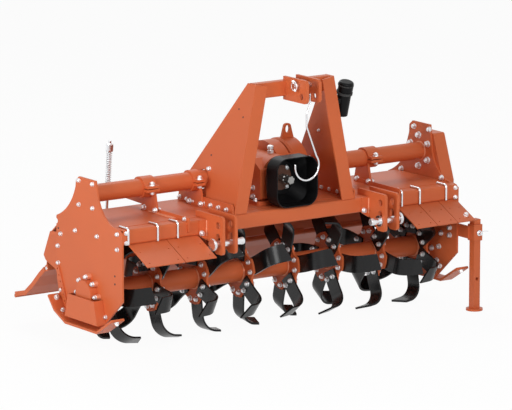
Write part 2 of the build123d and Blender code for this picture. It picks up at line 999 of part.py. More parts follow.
with BuildPart() as tailboard:
    with BuildSketch(across(-tail_half)):
        with BuildLine():
            Polyline(*sheet_outline(tail_line, tailboard_sheet), close=True)
        make_face()
        with Locations((tail_line[-1][0], tail_line[-1][1] + tailboard_sheet / 2)):
            Circle(tail_tube_radius)
    extrude(amount=2 * tail_half)
    for place in tail_rib_places:
        with BuildSketch(across(place)):
            with BuildLine():
                Polyline(*sheet_outline(tail_line, tail_rib_height), close=True)
            make_face()
        extrude(amount=tail_rib)
    add(draw_knuckles(1, hinge_pin_radius + hinge_clearance, 12, -9))
    for side in (rod_x - rod_eye / 2 - 1 - lug_plate, rod_x + rod_eye / 2 + 1):
        with BuildSketch(across(side)):
            with Locations((lug_y, lug_z)):
                Circle(12)
                with Locations((0, -12)):
                    Rectangle(24, 26)
        extrude(amount=lug_plate)
    with BuildSketch(across(rod_x - rod_eye / 2 - 1)):
        with Locations((lug_y, lug_z)):
            Circle(lug_pin_radius)
    extrude(amount=rod_eye + 2)
keep("tailboard", tailboard.part)

tab_y = hinge_y + 33
tab_top = 355
tab_plate = 8
rod_lean = degrees(atan2(lug_y - tab_y, tab_top - lug_z))
rod_to_tab = hypot(lug_y - tab_y, tab_top - lug_z)
nut_radius = 16
nut_height = 38
rod_plane = Plane(
    origin=(rod_x, lug_y, lug_z),
    x_dir=(1, 0, 0),
    z_dir=(0, -sin(radians(rod_lean)), cos(radians(rod_lean))),
)

with BuildPart() as spring_rod:
    with BuildSketch(across(rod_x - rod_eye / 2)):
        with Locations((lug_y, lug_z)):
            Circle(13)
    extrude(amount=rod_eye)
    with BuildSketch(rod_plane.offset(8)):
        Circle(rod_radius)
    extrude(amount=rod_to_tab + spring_length + nut_height)
    with BuildSketch(rod_plane.offset(rod_to_tab + spring_length + 1 + seat_gap)):
        Circle(nut_radius)
    extrude(amount=nut_height - 8)
    with BuildSketch(across(rod_x - rod_eye / 2)):
        with Locations((lug_y, lug_z)):
            Circle(lug_pin_radius + hinge_clearance)
    extrude(amount=rod_eye, mode=Mode.SUBTRACT)
keep("spring_rod", spring_rod.part)

with BuildPart() as spring:
    with BuildSketch(rod_plane.offset(rod_to_tab + 1)):
        Circle(spring_radius)
        Circle(spring_radius - spring_wire, mode=Mode.SUBTRACT)
    extrude(amount=spring_length)
keep("tailboard_spring", spring.part)

arm_sheet = 10
with BuildPart() as spring_bracket:
    with BuildSketch(across(-rib_x)):
        with BuildLine():
            Polyline(
                (cross_tube_y + 8, deck_top + rib_height + 3),
                (cross_tube_y + 46, deck_top + rib_height + 3),
                (tab_y + 16, tab_top - 24),
                (tab_y + 16, tab_top),
                (tab_y - 60, tab_top),
                (cross_tube_y + 52, tab_top + 8),
                (cross_tube_y + 34, tab_top - 4),
                close=True,
            )
        make_face()
    extrude(amount=arm_sheet)
    with BuildSketch(Plane.XY.offset(tab_top - tab_plate)):
        with Locations((rod_x - 4, tab_y)):
            Rectangle(42, 50)
        with Locations((rod_x, tab_y)):
            SlotOverall(30, 2 * rod_radius + 6, rotation=90, mode=Mode.SUBTRACT)
    extrude(amount=tab_plate)
keep("spring_bracket", spring_bracket.part)

# ---- front guards -----------------------------------------------------------------------------------

guard_front_y = -372
guard_front_z = 164
guard_line = [
    (beam_rear - 8, beam_bottom - guard_sheet),
    (plate_front + 6, beam_bottom - guard_sheet),
    (guard_front_y, guard_front_z),
]
# left edges of the guards, and the last one's right edge
left_guards = (28 - inside_half, 213 - inside_half, 368 - inside_half)
right_guards = (inside_half - 312, inside_half - 203, inside_half - 96, inside_half - 1)


def draw_guards(edges):
    """Rounded stone guards side by side, hung under the beam and sloped down to the front."""
    slope = Plane(
        origin=(0, guard_front_y, guard_front_z),
        x_dir=(1, 0, 0),
        z_dir=(0, guard_front_z - guard_line[1][1], guard_line[1][0] - guard_front_y),
    )
    with BuildPart() as guards:
        for left, right in zip(edges, edges[1:]):
            with BuildSketch(across(left)):
                with BuildLine():
                    Polyline(*sheet_outline(guard_line[::-1], guard_sheet)[::-1], close=True)
                make_face()
            extrude(amount=right - left - guard_gap)
            with BuildSketch(slope):
                with Locations(((left + right - guard_gap) / 2, 60)):
                    with GridLocations(right - left - guard_gap - 44, 76, 2, 2):
                        Circle(3.5)
            extrude(amount=2 * guard_sheet, both=True, mode=Mode.SUBTRACT)
    return guards.part


keep("left_front_guards", draw_guards(left_guards))
keep("right_front_guards", draw_guards(right_guards))

rod_bend = 12
rod_back = 62
guard_rod_places = (-831, -688, -590, 550, 645, 785)
rod_line_y = plate_front - guard_rod_radius - 1
rod_line_z = deck_top + guard_rod_radius + seat_gap


def draw_guard_rod(x):
    """A hooked rod that lies over the beam and reaches down its face to a guard."""
    with BuildPart() as rod:
        with BuildLine(across(x)) as path:
            FilletPolyline(
                (rod_line_y + rod_back, rod_line_z),
                (rod_line_y, rod_line_z),
                (rod_line_y, beam_bottom + 3),
                radius=rod_bend,
            )
        with BuildSketch(Plane(path.wires()[0] @ 0, z_dir=path.wires()[0] % 0)):
            Circle(guard_rod_radius)
        sweep(path=path.wires()[0])
    return rod.part


keep("guard_rods", Compound([draw_guard_rod(x) for x in guard_rod_places]))

# ---- parking stand ------------------------------------------------------------------------------------

arm_plate = 8
sleeve_half = leg_half + leg_clearance + sleeve_wall
stand_x = outside_half + arm_plate + sleeve_half
floor_z = min(pieces[name].bounding_box().min.Z for name in ("left_hand_tines", "right_hand_tines"))
sleeve_low = stand_arm_z - sleeve_height / 2

with BuildPart() as stand_bracket:
    with BuildSketch(across(outside_half)):
        with BuildLine():
            Polyline(
                (stand_y + sleeve_half - 12, stand_arm_z - stand_arm_height / 2),
                (stand_y + sleeve_half - 12, stand_arm_z + stand_arm_height / 2),
                (plate_front + 104, stand_arm_z + stand_arm_height / 2),
                (plate_front + 118, stand_arm_z),
                (plate_front + 104, stand_arm_z - stand_arm_height / 2),
                close=True,
            )
        make_face()
    extrude(amount=arm_plate)
    with BuildSketch(Plane.XY.offset(sleeve_low)):
        with Locations((stand_x, stand_y)):
            Rectangle(2 * sleeve_half, 2 * sleeve_half)
            Rectangle(
                2 * (sleeve_half - sleeve_wall), 2 * (sleeve_half - sleeve_wall), mode=Mode.SUBTRACT
            )
    extrude(amount=sleeve_height)
    with BuildSketch(Plane.XZ.offset(-stand_y - sleeve_half - 1)):
        with Locations((stand_x, stand_arm_z)):
            Circle(stand_pin_radius + pin_clearance)
    extrude(amount=2 * sleeve_half + 2, mode=Mode.SUBTRACT)
keep("stand_bracket", stand_bracket.part)

with BuildPart() as stand_leg:
    with BuildSketch(Plane.XY.offset(floor_z)):
        with Locations((stand_x, stand_y)):
            Rectangle(2 * leg_half, 2 * leg_half)
    extrude(amount=leg_top - floor_z)
    with BuildSketch(Plane.XY.offset(floor_z)):
        with Locations((stand_x, stand_y)):
            Circle(foot_radius)
    extrude(amount=foot_plate)
    with BuildSketch(Plane.XZ.offset(-stand_y - leg_half - 1)):
        with Locations((stand_x, stand_arm_z), (stand_x, stand_arm_z - leg_hole_pitch)):
            Circle(stand_pin_radius + pin_clearance)
    extrude(amount=2 * leg_half + 2, mode=Mode.SUBTRACT)
keep("stand_leg", stand_leg.part)

pin_grip = 24
with BuildPart() as stand_pin:
    with BuildSketch(Plane.XZ.offset(-stand_y - sleeve_half - 8)):
        with Locations((stand_x, stand_arm_z)):
            Circle(stand_pin_radius)
    extrude(amount=2 * sleeve_half + 8 + pin_grip)
    with BuildSketch(Plane.XZ.offset(-stand_y + sleeve_half + seat_gap)):
        with Locations((stand_x, stand_arm_z)):
            Circle(stand_pin_radius + 5)
    extrude(amount=8)
    # the part of the pin inside the leg is left out, because the leg slides past it
    with Locations((stand_x, stand_y, stand_arm_z)):
        Box(
            4 * stand_pin_radius,
            2 * (sleeve_half - sleeve_wall),
            4 * stand_pin_radius,
            mode=Mode.SUBTRACT,
        )
keep("stand_pin", stand_pin.part)

# ---- driveline hook and manual canister -----------------------------------------------------------------

hook_radius = 4
hook_bow = 60
hook_y = top_pin_y - 6
hook_top = top_ear_low + 34
hook_x = top_ear_gap / 2 - hook_radius - seat_gap
bow_x = 6
bow_z = pto_z + 76

with BuildPart() as driveline_hook:
    with BuildLine(Plane.XZ.offset(-hook_y)) as path:
        FilletPolyline(
            (hook_x, hook_top),
            (hook_x, top_ear_low - 6),
            (bow_x - 2, top_ear_low - 50),
            (bow_x - 2, bow_z + 162),
            (bow_x + hook_bow * cos(radians(38)), bow_z + hook_bow * sin(radians(38))),
            radius=14,
        )
        ThreePointArc(
            (bow_x + hook_bow * cos(radians(38)), bow_z + hook_bow * sin(radians(38))),
            (bow_x, bow_z - hook_bow),
            (bow_x - hook_bow * cos(radians(10)), bow_z + hook_bow * sin(radians(10))),
        )
    with BuildSketch(Plane(origin=(hook_x, hook_y, hook_top), z_dir=(0, 0, -1))):
        Circle(hook_radius)
    sweep(path=path.wires()[0])
keep("driveline_hook", driveline_hook.part)

canister_radius = 29
canister_length = 112
canister_cap = 38
canister_tilt = 16
canister_bracket = 40
canister_z = 656
canister_gap = 4
canister_foot = (
    mast_foot_half - (canister_z - mast_foot_z) * tan(radians(lean)) + canister_radius + canister_gap,
    -196,
    canister_z,
)
canister_plane = Plane(
    origin=canister_foot,
    x_dir=(1, 0, 0),
    z_dir=(0, -sin(radians(canister_tilt)), cos(radians(canister_tilt))),
)



def draw_canister_bracket():
    """The short block that bridges the canister and the outer face of the right mast leg."""
    leg_outer_face = Plane(
        origin=(mast_foot_half + seat_gap, 0, mast_foot_z),
        x_dir=(0, 1, 0),
        z_dir=(cos(radians(lean)), 0, sin(radians(lean))),
    )
    with BuildPart() as bracket:
        with BuildSketch(canister_plane.offset(canister_length / 2)):
            with Locations((-canister_radius - canister_bracket / 2, 0)):
                Rectangle(canister_bracket + canister_radius, 30)
        extrude(amount=24)
        split(bisect_by=leg_outer_face, keep=Keep.TOP)
    return bracket.part


with BuildPart() as canister:
    with BuildSketch(canister_plane):
        Circle(canister_radius)
    extrude(amount=canister_length)
    with BuildSketch(canister_plane.offset(canister_length)):
        Circle(canister_radius + 3)
    extrude(amount=canister_cap)
    fillet(canister.faces().sort_by(Axis.Z)[-1].edges(), 10)
    add(draw_canister_bracket())
keep("manual_canister", canister.part)

# ---- write the pieces, set down on the floor and centred over it --------------------------------------------

box = Compound([part for part in pieces.values()]).bounding_box()
on_floor = Location((-box.center().X, -box.center().Y, -box.min.Z))
os.makedirs("parts", exist_ok=True)
for name, part in pieces.items():
    placed = part.moved(on_floor)
    placed.label = name
    export_step(placed, f"parts/{name}.step")
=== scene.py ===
"""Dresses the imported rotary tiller: paint, plating, fixings, spring, splines, clips and welds.

Places and lengths are in millimetres from the middle of the rotor's axis, +X across the machine,
+Y to its rear and +Z up, and at() turns them into the frame's metres. Names that end in _M or _m
are in metres.
"""

import json
import math
from collections import namedtuple

import bmesh
import bpy
from bpy.props import FloatProperty, FloatVectorProperty, IntProperty, PointerProperty
from mathutils import Matrix, Vector
from mathutils.bvhtree import BVHTree


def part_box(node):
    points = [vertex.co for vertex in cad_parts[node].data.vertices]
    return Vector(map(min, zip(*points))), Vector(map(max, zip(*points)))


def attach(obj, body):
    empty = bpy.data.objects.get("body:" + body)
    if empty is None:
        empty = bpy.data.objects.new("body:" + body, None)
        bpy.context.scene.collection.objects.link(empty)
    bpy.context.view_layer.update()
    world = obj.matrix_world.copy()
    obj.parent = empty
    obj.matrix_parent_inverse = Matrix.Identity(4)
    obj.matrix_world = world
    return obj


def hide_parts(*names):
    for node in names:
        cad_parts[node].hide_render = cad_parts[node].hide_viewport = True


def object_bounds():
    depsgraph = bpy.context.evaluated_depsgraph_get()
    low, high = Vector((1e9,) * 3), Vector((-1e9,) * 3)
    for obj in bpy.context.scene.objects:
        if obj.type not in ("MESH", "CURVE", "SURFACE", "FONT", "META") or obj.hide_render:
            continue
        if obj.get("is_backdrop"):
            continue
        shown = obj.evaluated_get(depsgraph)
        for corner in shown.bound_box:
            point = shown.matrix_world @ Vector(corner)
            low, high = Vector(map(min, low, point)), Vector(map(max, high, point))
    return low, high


bl_info = {
    "name": "Rotary Tiller Dressing",
    "version": (1, 0, 0),
    "blender": (4, 5, 0),
    "location": "3D View > Sidebar > Tiller",
    "description": "Paints and dresses the packed rotary tiller and lights it in a plain studio",
    "category": "Object",
}

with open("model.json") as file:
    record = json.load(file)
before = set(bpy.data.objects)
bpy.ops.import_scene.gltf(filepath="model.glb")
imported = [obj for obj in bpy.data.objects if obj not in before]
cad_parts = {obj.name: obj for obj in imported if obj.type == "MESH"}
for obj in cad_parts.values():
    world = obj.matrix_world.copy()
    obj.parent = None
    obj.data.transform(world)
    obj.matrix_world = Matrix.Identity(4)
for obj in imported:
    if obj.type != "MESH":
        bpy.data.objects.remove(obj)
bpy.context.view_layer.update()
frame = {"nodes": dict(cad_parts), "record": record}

MM = 0.001
FRAME, ROTOR, INPUT, ROD = "main_frame", "rotor", "input_shaft", "spring_rod_set"


def span(node):
    """Lowest and highest corner of a CAD node."""
    low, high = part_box(node)
    return Vector(low), Vector(high)


AXIS = sum(span("rotor_shaft"), Vector()) / 2


def at(x, y, z):
    """A point in millimetres from the middle of the rotor's axis, in the frame's metres."""
    return AXIS + Vector((x, y, z)) * MM


def reach(node):
    """The node's lowest and highest corner in millimetres from the rotor's axis."""
    low, high = span(node)
    return (low - AXIS) / MM, (high - AXIS) / MM


def centre(node):
    """The middle of the node's box in millimetres from the rotor's axis."""
    low, high = reach(node)
    return (low + high) / 2


PLATE_LOW, PLATE_HIGH = reach("left_end_plate")
OUTER = -PLATE_LOW.x
INNER = -PLATE_HIGH.x
TUBE_Y, TUBE_Z = centre("cross_tube").yz
BEAM_LOW, BEAM_HIGH = reach("front_beam")
DECK = BEAM_HIGH.z
SADDLE_Y = BEAM_LOW.y - 8
BOX_LOW, BOX_HIGH = reach("gearbox")
STUB_Z = centre("pto_stub").z

FLANGES = 8
FLANGE_INSET = 49.9
FLANGE_HALF = 5

LEFT, RIGHT = Vector((-1, 0, 0)), Vector((1, 0, 0))
FRONT, REAR = Vector((0, -1, 0)), Vector((0, 1, 0))
UP, DOWN = Vector((0, 0, 1)), Vector((0, 0, -1))
SIDES = (-1, 1)


def flange_places():
    """X of the middle of each tine flange, from left to right."""
    pitch = 2 * (INNER - FLANGE_INSET) / (FLANGES - 1)
    return [-INNER + FLANGE_INSET + number * pitch for number in range(FLANGES)]


def polar(degrees, radius):
    """A point on a circle: how far along its first and its second direction."""
    angle = math.radians(degrees)
    return radius * math.cos(angle), radius * math.sin(angle)


def on_circle(radius, first, step, count):
    """Points on a circle, from a first angle in degrees and then one at each step."""
    return [polar(first + step * number, radius) for number in range(count)]


# ---- sizes and colours a user would change ----


def colour(name, description, default):
    """A colour that a user can pick."""
    return FloatVectorProperty(
        name=name, description=description, subtype="COLOR", size=3, min=0, max=1, default=default
    )


def thickness(name, description, least, default):
    """A small length in metres that a user can set."""
    return FloatProperty(
        name=name, description=description, subtype="DISTANCE", unit="LENGTH",
        min=least, default=default,
    )


class TillerPaint(bpy.types.PropertyGroup):
    """Finishes of the tiller."""

    paint: colour("Paint", "Powder coat on the steelwork", (0.66, 0.142, 0.046))
    blade: colour("Blades", "Black dip on the tines", (0.007, 0.007, 0.0075))
    plastic: colour("Plastic", "Moulded shield and canister", (0.006, 0.006, 0.0065))
    zinc: colour("Zinc", "Bright plating on fixings, rods and pins", (0.80, 0.81, 0.83))
    wear: FloatProperty(
        name="Edge Wear", description="How far the paint thins along sharp edges",
        min=0, max=1, default=0.35,
    )


class TillerFixings(bpy.types.PropertyGroup):
    """Sizes of the bolts, the spring and the welds."""

    head: thickness("Head Radius", "Half the width of an M14 head across corners", 0.004, 0.0108)
    coil_wire: thickness("Spring Wire", "Radius of the tailboard spring's wire", 0.001, 0.0021)
    coils: IntProperty(name="Coils", description="Turns of the tailboard spring", min=3, default=17)
    splines: IntProperty(name="Splines", description="Teeth on the input stub", min=4, default=6)
    bead: thickness("Weld Bead", "Radius of the fillet welds", 0.001, 0.0042)


class TillerStudio(bpy.types.PropertyGroup):
    """Floor, light and camera."""

    floor: colour("Floor", "Colour of the floor", (0.94, 0.94, 0.94))
    sky: FloatProperty(
        name="Sky", description="Strength of the even light from all round", min=0, default=0.28
    )
    azimuth: FloatProperty(
        name="Azimuth", description="How far the camera stands to the left of the front",
        subtype="ANGLE", unit="ROTATION", default=math.radians(35.13),
    )
    elevation: FloatProperty(
        name="Elevation", description="How far the camera stands above the horizon",
        subtype="ANGLE", unit="ROTATION", default=math.radians(11.27),
    )


# ---- shader node groups ----


class Nodes:
    """Short hand for building one node tree."""

    def __init__(self, tree):
        self.tree = tree

    def add(self, kind, inputs=(), **settings):
        """A node with its settings and its inputs, each a value or another node's output."""
        node = self.tree.nodes.new(kind)
        for name, value in settings.items():
            setattr(node, name, value)
        for name, value in dict(inputs).items():
            socket = node.inputs[name]
            if isinstance(value, bpy.types.NodeSocket):
                self.tree.links.new(value, socket)
            else:
                socket.default_value = value
        return node

    def math(self, operation, *values, clamp=False):
        """A Math node's output."""
        return self.add(
            "ShaderNodeMath", dict(enumerate(values)), operation=operation, use_clamp=clamp
        ).outputs[0]


def shader_group(name, inputs, outputs):
    """An empty shader group with float inputs and named outputs."""
    group = bpy.data.node_groups.new(name, "ShaderNodeTree")
    for label, default in inputs:
        socket = group.interface.new_socket(label, in_out="INPUT", socket_type="NodeSocketFloat")
        socket.default_value = default
    for label, kind in outputs:
        group.interface.new_socket(label, in_out="OUTPUT", socket_type=kind)
    nodes = Nodes(group)
    return group, nodes, nodes.add("NodeGroupInput"), nodes.add("NodeGroupOutput")


def emptied(block):
    """Empties the node tree of a material or a world."""
    block.use_nodes = True
    block.node_tree.nodes.clear()
    return Nodes(block.node_tree)


def noise(n, scale, detail):
    """Noise over the object's own coordinates."""
    here = n.add("ShaderNodeTexCoord").outputs["Object"]
    inputs = {"Vector": here, "Scale": scale, "Detail": detail}
    return n.add("ShaderNodeTexNoise", inputs).outputs[0]


def soft_edge_group():
    """Rounds every edge for light and masks where the edges are."""
    group, n, given, out = shader_group(
        "soft_edge",
        [("Radius", 0.0016), ("Breakup", 70.0)],
        [("Normal", "NodeSocketVector"), ("Edge", "NodeSocketFloat")],
    )
    soft = n.add("ShaderNodeBevel", {"Radius": given.outputs["Radius"]}, samples=6)
    flat = n.add("ShaderNodeNewGeometry").outputs["Normal"]
    along = n.add("ShaderNodeVectorMath", {0: soft.outputs[0], 1: flat}, operation="DOT_PRODUCT")
    turned = n.math("MULTIPLY", n.math("SUBTRACT", 1.0, along.outputs["Value"]), 6.0, clamp=True)
    patches = noise(n, given.outputs["Breakup"], 2.0)
    chips = n.math("MULTIPLY", n.math("SUBTRACT", patches, 0.38), 4.0, clamp=True)
    links = group.links
    links.new(soft.outputs[0], out.inputs["Normal"])
    links.new(n.math("MULTIPLY", turned, chips), out.inputs["Edge"])
    return group


def skin_group():
    """Fine surface texture and the slow change of tone over a coated or moulded surface."""
    group, n, given, out = shader_group(
        "coated_skin",
        [("Grain", 900.0), ("Cloud", 4.0)],
        [("Height", "NodeSocketFloat"), ("Tone", "NodeSocketFloat")],
    )
    for scale, detail, result in (("Grain", 1.0, "Height"), ("Cloud", 3.0, "Tone")):
        group.links.new(noise(n, given.outputs[scale], detail), out.inputs[result])
    return group


def dust_group():
    """Settled dust: a mask that grows on faces that look up."""
    group, n, given, out = shader_group(
        "settled_dust", [("Amount", 0.2)], [("Dust", "NodeSocketFloat")]
    )
    facing = n.add("ShaderNodeSeparateXYZ", {0: n.add("ShaderNodeNewGeometry").outputs["Normal"]})
    up = n.math("MULTIPLY", n.math("MAXIMUM", facing.outputs["Z"], 0.0), noise(n, 11.0, 4.0))
    group.links.new(n.math("MULTIPLY", up, given.outputs["Amount"]), out.inputs["Dust"])
    return group


def group_node(n, group, **values):
    """Places a shader group with its own values."""
    node = n.add("ShaderNodeGroup", node_tree=group)
    for name, value in values.items():
        node.inputs[name].default_value = value
    return node


def mix_colour(n, factor, a, b):
    """A Mix node between two colours, each a value or an output."""
    node = n.tree.nodes.new("ShaderNodeMix")
    node.data_type = "RGBA"
    colours = [socket for socket in node.inputs if socket.type == "RGBA"]
    n.tree.links.new(factor, node.inputs[0])
    for socket, value in zip(colours, (a, b)):
        if isinstance(value, bpy.types.NodeSocket):
            n.tree.links.new(value, socket)
        else:
            socket.default_value = (*value, 1)
    return [socket for socket in node.outputs if socket.type == "RGBA"][0]


Finish = namedtuple("Finish", "name colour worn rough spread metal shine coat grain bump dust")
DARK_TONE = 0.90
DUST_COLOUR = (0.62, 0.56, 0.48)
COAT_ROUGHNESS = 0.25
GRAIN_DEPTH_M = 0.0004


def make_material(finish, groups, wear):
    """One finish: its colour with tone, wear and dust, over rounded edges and a fine bump."""
    made = bpy.data.materials.new(finish.name)
    made.diffuse_color = (*finish.colour, 1)
    n = emptied(made)
    edge = group_node(n, groups["edge"])
    skin = group_node(n, groups["skin"], Grain=finish.grain)
    dust = group_node(n, groups["dust"], Amount=finish.dust)
    darker = tuple(DARK_TONE * part for part in finish.colour)
    tone = mix_colour(n, skin.outputs["Tone"], darker, finish.colour)
    worn = mix_colour(n, n.math("MULTIPLY", edge.outputs["Edge"], wear), tone, finish.worn)
    dusty = mix_colour(n, dust.outputs["Dust"], worn, DUST_COLOUR)
    rough = n.math(
        "MULTIPLY_ADD", skin.outputs["Tone"], finish.spread, finish.rough - finish.spread / 2
    )
    bump = n.add(
        "ShaderNodeBump",
        {"Height": skin.outputs["Height"], "Normal": edge.outputs["Normal"],
         "Strength": finish.bump, "Distance": GRAIN_DEPTH_M},
    )
    shader = n.add(
        "ShaderNodeBsdfPrincipled",
        {"Base Color": dusty, "Roughness": rough, "Normal": bump.outputs[0],
         "Metallic": finish.metal, "Coat Weight": finish.coat,
         "Coat Roughness": COAT_ROUGHNESS, "Specular IOR Level": finish.shine},
    )
    n.add("ShaderNodeOutputMaterial", {"Surface": shader.outputs[0]})
    return made


def finishes(settings):
    """The tiller's finishes, one row each."""
    paint, blade = tuple(settings.paint), tuple(settings.blade)
    plastic, zinc = tuple(settings.plastic), tuple(settings.zinc)
    steel, seal = (0.34, 0.33, 0.32), (0.13, 0.055, 0.035)
    dull, bright, grey = (0.40, 0.08, 0.03), (0.86, 0.86, 0.87), (0.10, 0.10, 0.10)
    scuffed, dark = (0.05, 0.05, 0.05), (0.06, 0.03, 0.02)
    return [
        # name, colour, worn colour, rough, spread, metal, shine, coat, grain, bump, dust
        Finish("orange_paint", paint, dull, 0.42, 0.10, 0, 0.26, 0.04, 1100, 0.10, 0.03),
        Finish("black_paint", blade, grey, 0.26, 0.12, 0, 0.30, 0.0, 700, 0.16, 0.01),
        Finish("black_plastic", plastic, scuffed, 0.34, 0.08, 0, 0.12, 0.0, 1600, 0.2, 0.0),
        Finish("zinc_plate", zinc, bright, 0.24, 0.12, 1, 0.5, 0.0, 1400, 0.05, 0.0),
        Finish("bare_steel", steel, bright, 0.34, 0.10, 1, 0.5, 0.0, 800, 0.06, 0.0),
        Finish("seal_rubber", seal, dark, 0.5, 0.1, 0, 0.3, 0.0, 900, 0.1, 0.0),
    ]


def material(name):
    """A finish that the painting operator has made."""
    return bpy.data.materials[name]


# ---- mesh helpers ----

SMOOTH_ANGLE = math.radians(35)
WELD_DISTANCE_M = 0.00001


def add_object(name, data):
    """Links a mesh or a curve as an object at the origin."""
    piece = bpy.data.objects.new(name, data)
    bpy.context.scene.collection.objects.link(piece)
    return piece


def from_bmesh(name, shape):
    """Turns a finished bmesh into an object at the origin."""
    mesh = bpy.data.meshes.new(name)
    shape.to_mesh(mesh)
    shape.free()
    return add_object(name, mesh)


def hand_over(piece, body):
    """Says which body carries a piece."""
    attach(piece, body)
    return piece


def settle(piece, body, slot):
    """Gives a modelled piece its finish, named after its slot, its smooth faces and its body."""
    piece.data.materials.append(material(slot))
    piece.data.shade_smooth()
    piece.data.set_sharp_from_angle(angle=SMOOTH_ANGLE)
    return hand_over(piece, body)


def lofted(name, rings):
    """A closed piece through rings of points in metres, each ring with as many points."""
    shape = bmesh.new()
    rows = [[shape.verts.new(spot) for spot in ring] for ring in rings]
    count = len(rows[0])
    for near, far in zip(rows, rows[1:]):
        for step in range(count):
            after = (step + 1) % count
            shape.faces.new((near[step], near[after], far[after], far[step]))
    shape.faces.new(rows[0][::-1])
    shape.faces.new(rows[-1])
    bmesh.ops.recalc_face_normals(shape, faces=shape.faces)
    return from_bmesh(name, shape)


def circle_points(middle, along, radius, count):
    """Points round a circle, in metres, from a middle in metres and a radius in mm."""
    facing = Vector(along).normalized().to_track_quat("Z", "Y").to_matrix()
    rim = on_circle(radius, 0, 360 / count, count)
    return [Vector(middle) + facing @ Vector((*spot, 0)) * MM for spot in rim]


def turned(name, profile, foot, along, steps=32):
    """A turned piece: (height, radius) in mm along a direction from a foot point in metres."""
    rise = Vector(along).normalized() * MM
    return lofted(
        name, [circle_points(foot + rise * high, along, radius, steps) for high, radius in profile]
    )


def join(name, pieces):
    """Joins several meshes into one piece."""
    shape = bmesh.new()
    for piece in pieces:
        shape.from_mesh(piece.data)
        spent = piece.data
        bpy.data.objects.remove(piece)
        bpy.data.meshes.remove(spent)
    return from_bmesh(name, shape)


def wire(name, points, radius, closed=False):
    """Round wire along a smooth line through points in metres, its ends closed."""
    curve = bpy.data.curves.new(name, "CURVE")
    curve.dimensions = "3D"
    curve.bevel_depth = radius * MM
    curve.bevel_resolution = 2
    curve.resolution_u = 8
    curve.use_fill_caps = True
    spline = curve.splines.new("BEZIER")
    spline.bezier_points.add(len(points) - 1)
    for knot, point in zip(spline.bezier_points, points):
        knot.co = point
        knot.handle_left_type = knot.handle_right_type = "AUTO"
    spline.use_cyclic_u = closed
    holder = add_object(name, curve)
    graph = bpy.context.evaluated_depsgraph_get()
    mesh = bpy.data.meshes.new_from_object(holder.evaluated_get(graph))
    bpy.data.objects.remove(holder)
    bpy.data.curves.remove(curve)
    shape = bmesh.new()
    shape.from_mesh(mesh)
    bpy.data.meshes.remove(mesh)
    bmesh.ops.remove_doubles(shape, verts=shape.verts, dist=WELD_DISTANCE_M)
    bmesh.ops.recalc_face_normals(shape, faces=shape.faces)
    return from_bmesh(name, shape)


# ---- geometry node trees ----


def geometry_tree(name, sizes):
    """A geometry tree with a Geometry input and output, a Finish material and named sizes."""
    tree = bpy.data.node_groups.new(name, "GeometryNodeTree")
    face = tree.interface
    face.new_socket("Geometry", in_out="INPUT", socket_type="NodeSocketGeometry")
    face.new_socket("Geometry", in_out="OUTPUT", socket_type="NodeSocketGeometry")
    face.new_socket("Finish", in_out="INPUT", socket_type="NodeSocketMaterial")
    for label, default in sizes:
        kind = "NodeSocketInt" if isinstance(default, int) else "NodeSocketFloat"
        face.new_socket(label, in_out="INPUT", socket_type=kind).default_value = default
    nodes = Nodes(tree)
    return tree, nodes, nodes.add("NodeGroupInput").outputs, nodes.add("NodeGroupOutput")


def random_value(n, low, high, seed):
    """A random number for each point or instance, the same at each run."""
    node = n.add("FunctionNodeRandomValue", {2: low, 3: high, "Seed": seed}, data_type="FLOAT")
    return node.outputs[1]


def tube_along(n, line, radius, sides, **inputs):
    """A round tube along a curve, its ends closed flat."""
    ring = n.add("GeometryNodeCurvePrimitiveCircle", {"Resolution": sides, "Radius": radius})
    return n.add(
        "GeometryNodeCurveToMesh",
        {"Curve": line, "Profile Curve": ring.outputs[0], "Fill Caps": True, **inputs},
    ).outputs[0]


def close_tree(n, out, geometry, finish, smooth=False):
    """Realises the instances, sets the finish and ends the tree."""
    real = n.add("GeometryNodeRealizeInstances", {"Geometry": geometry}).outputs[0]
    real = n.add(
        "GeometryNodeSetShadeSmooth", {"Geometry": real, "Shade Smooth": smooth}
    ).outputs[0]
    done = n.add("GeometryNodeSetMaterial", {"Geometry": real, "Material": finish}).outputs[0]
    n.tree.links.new(done, out.inputs[0])


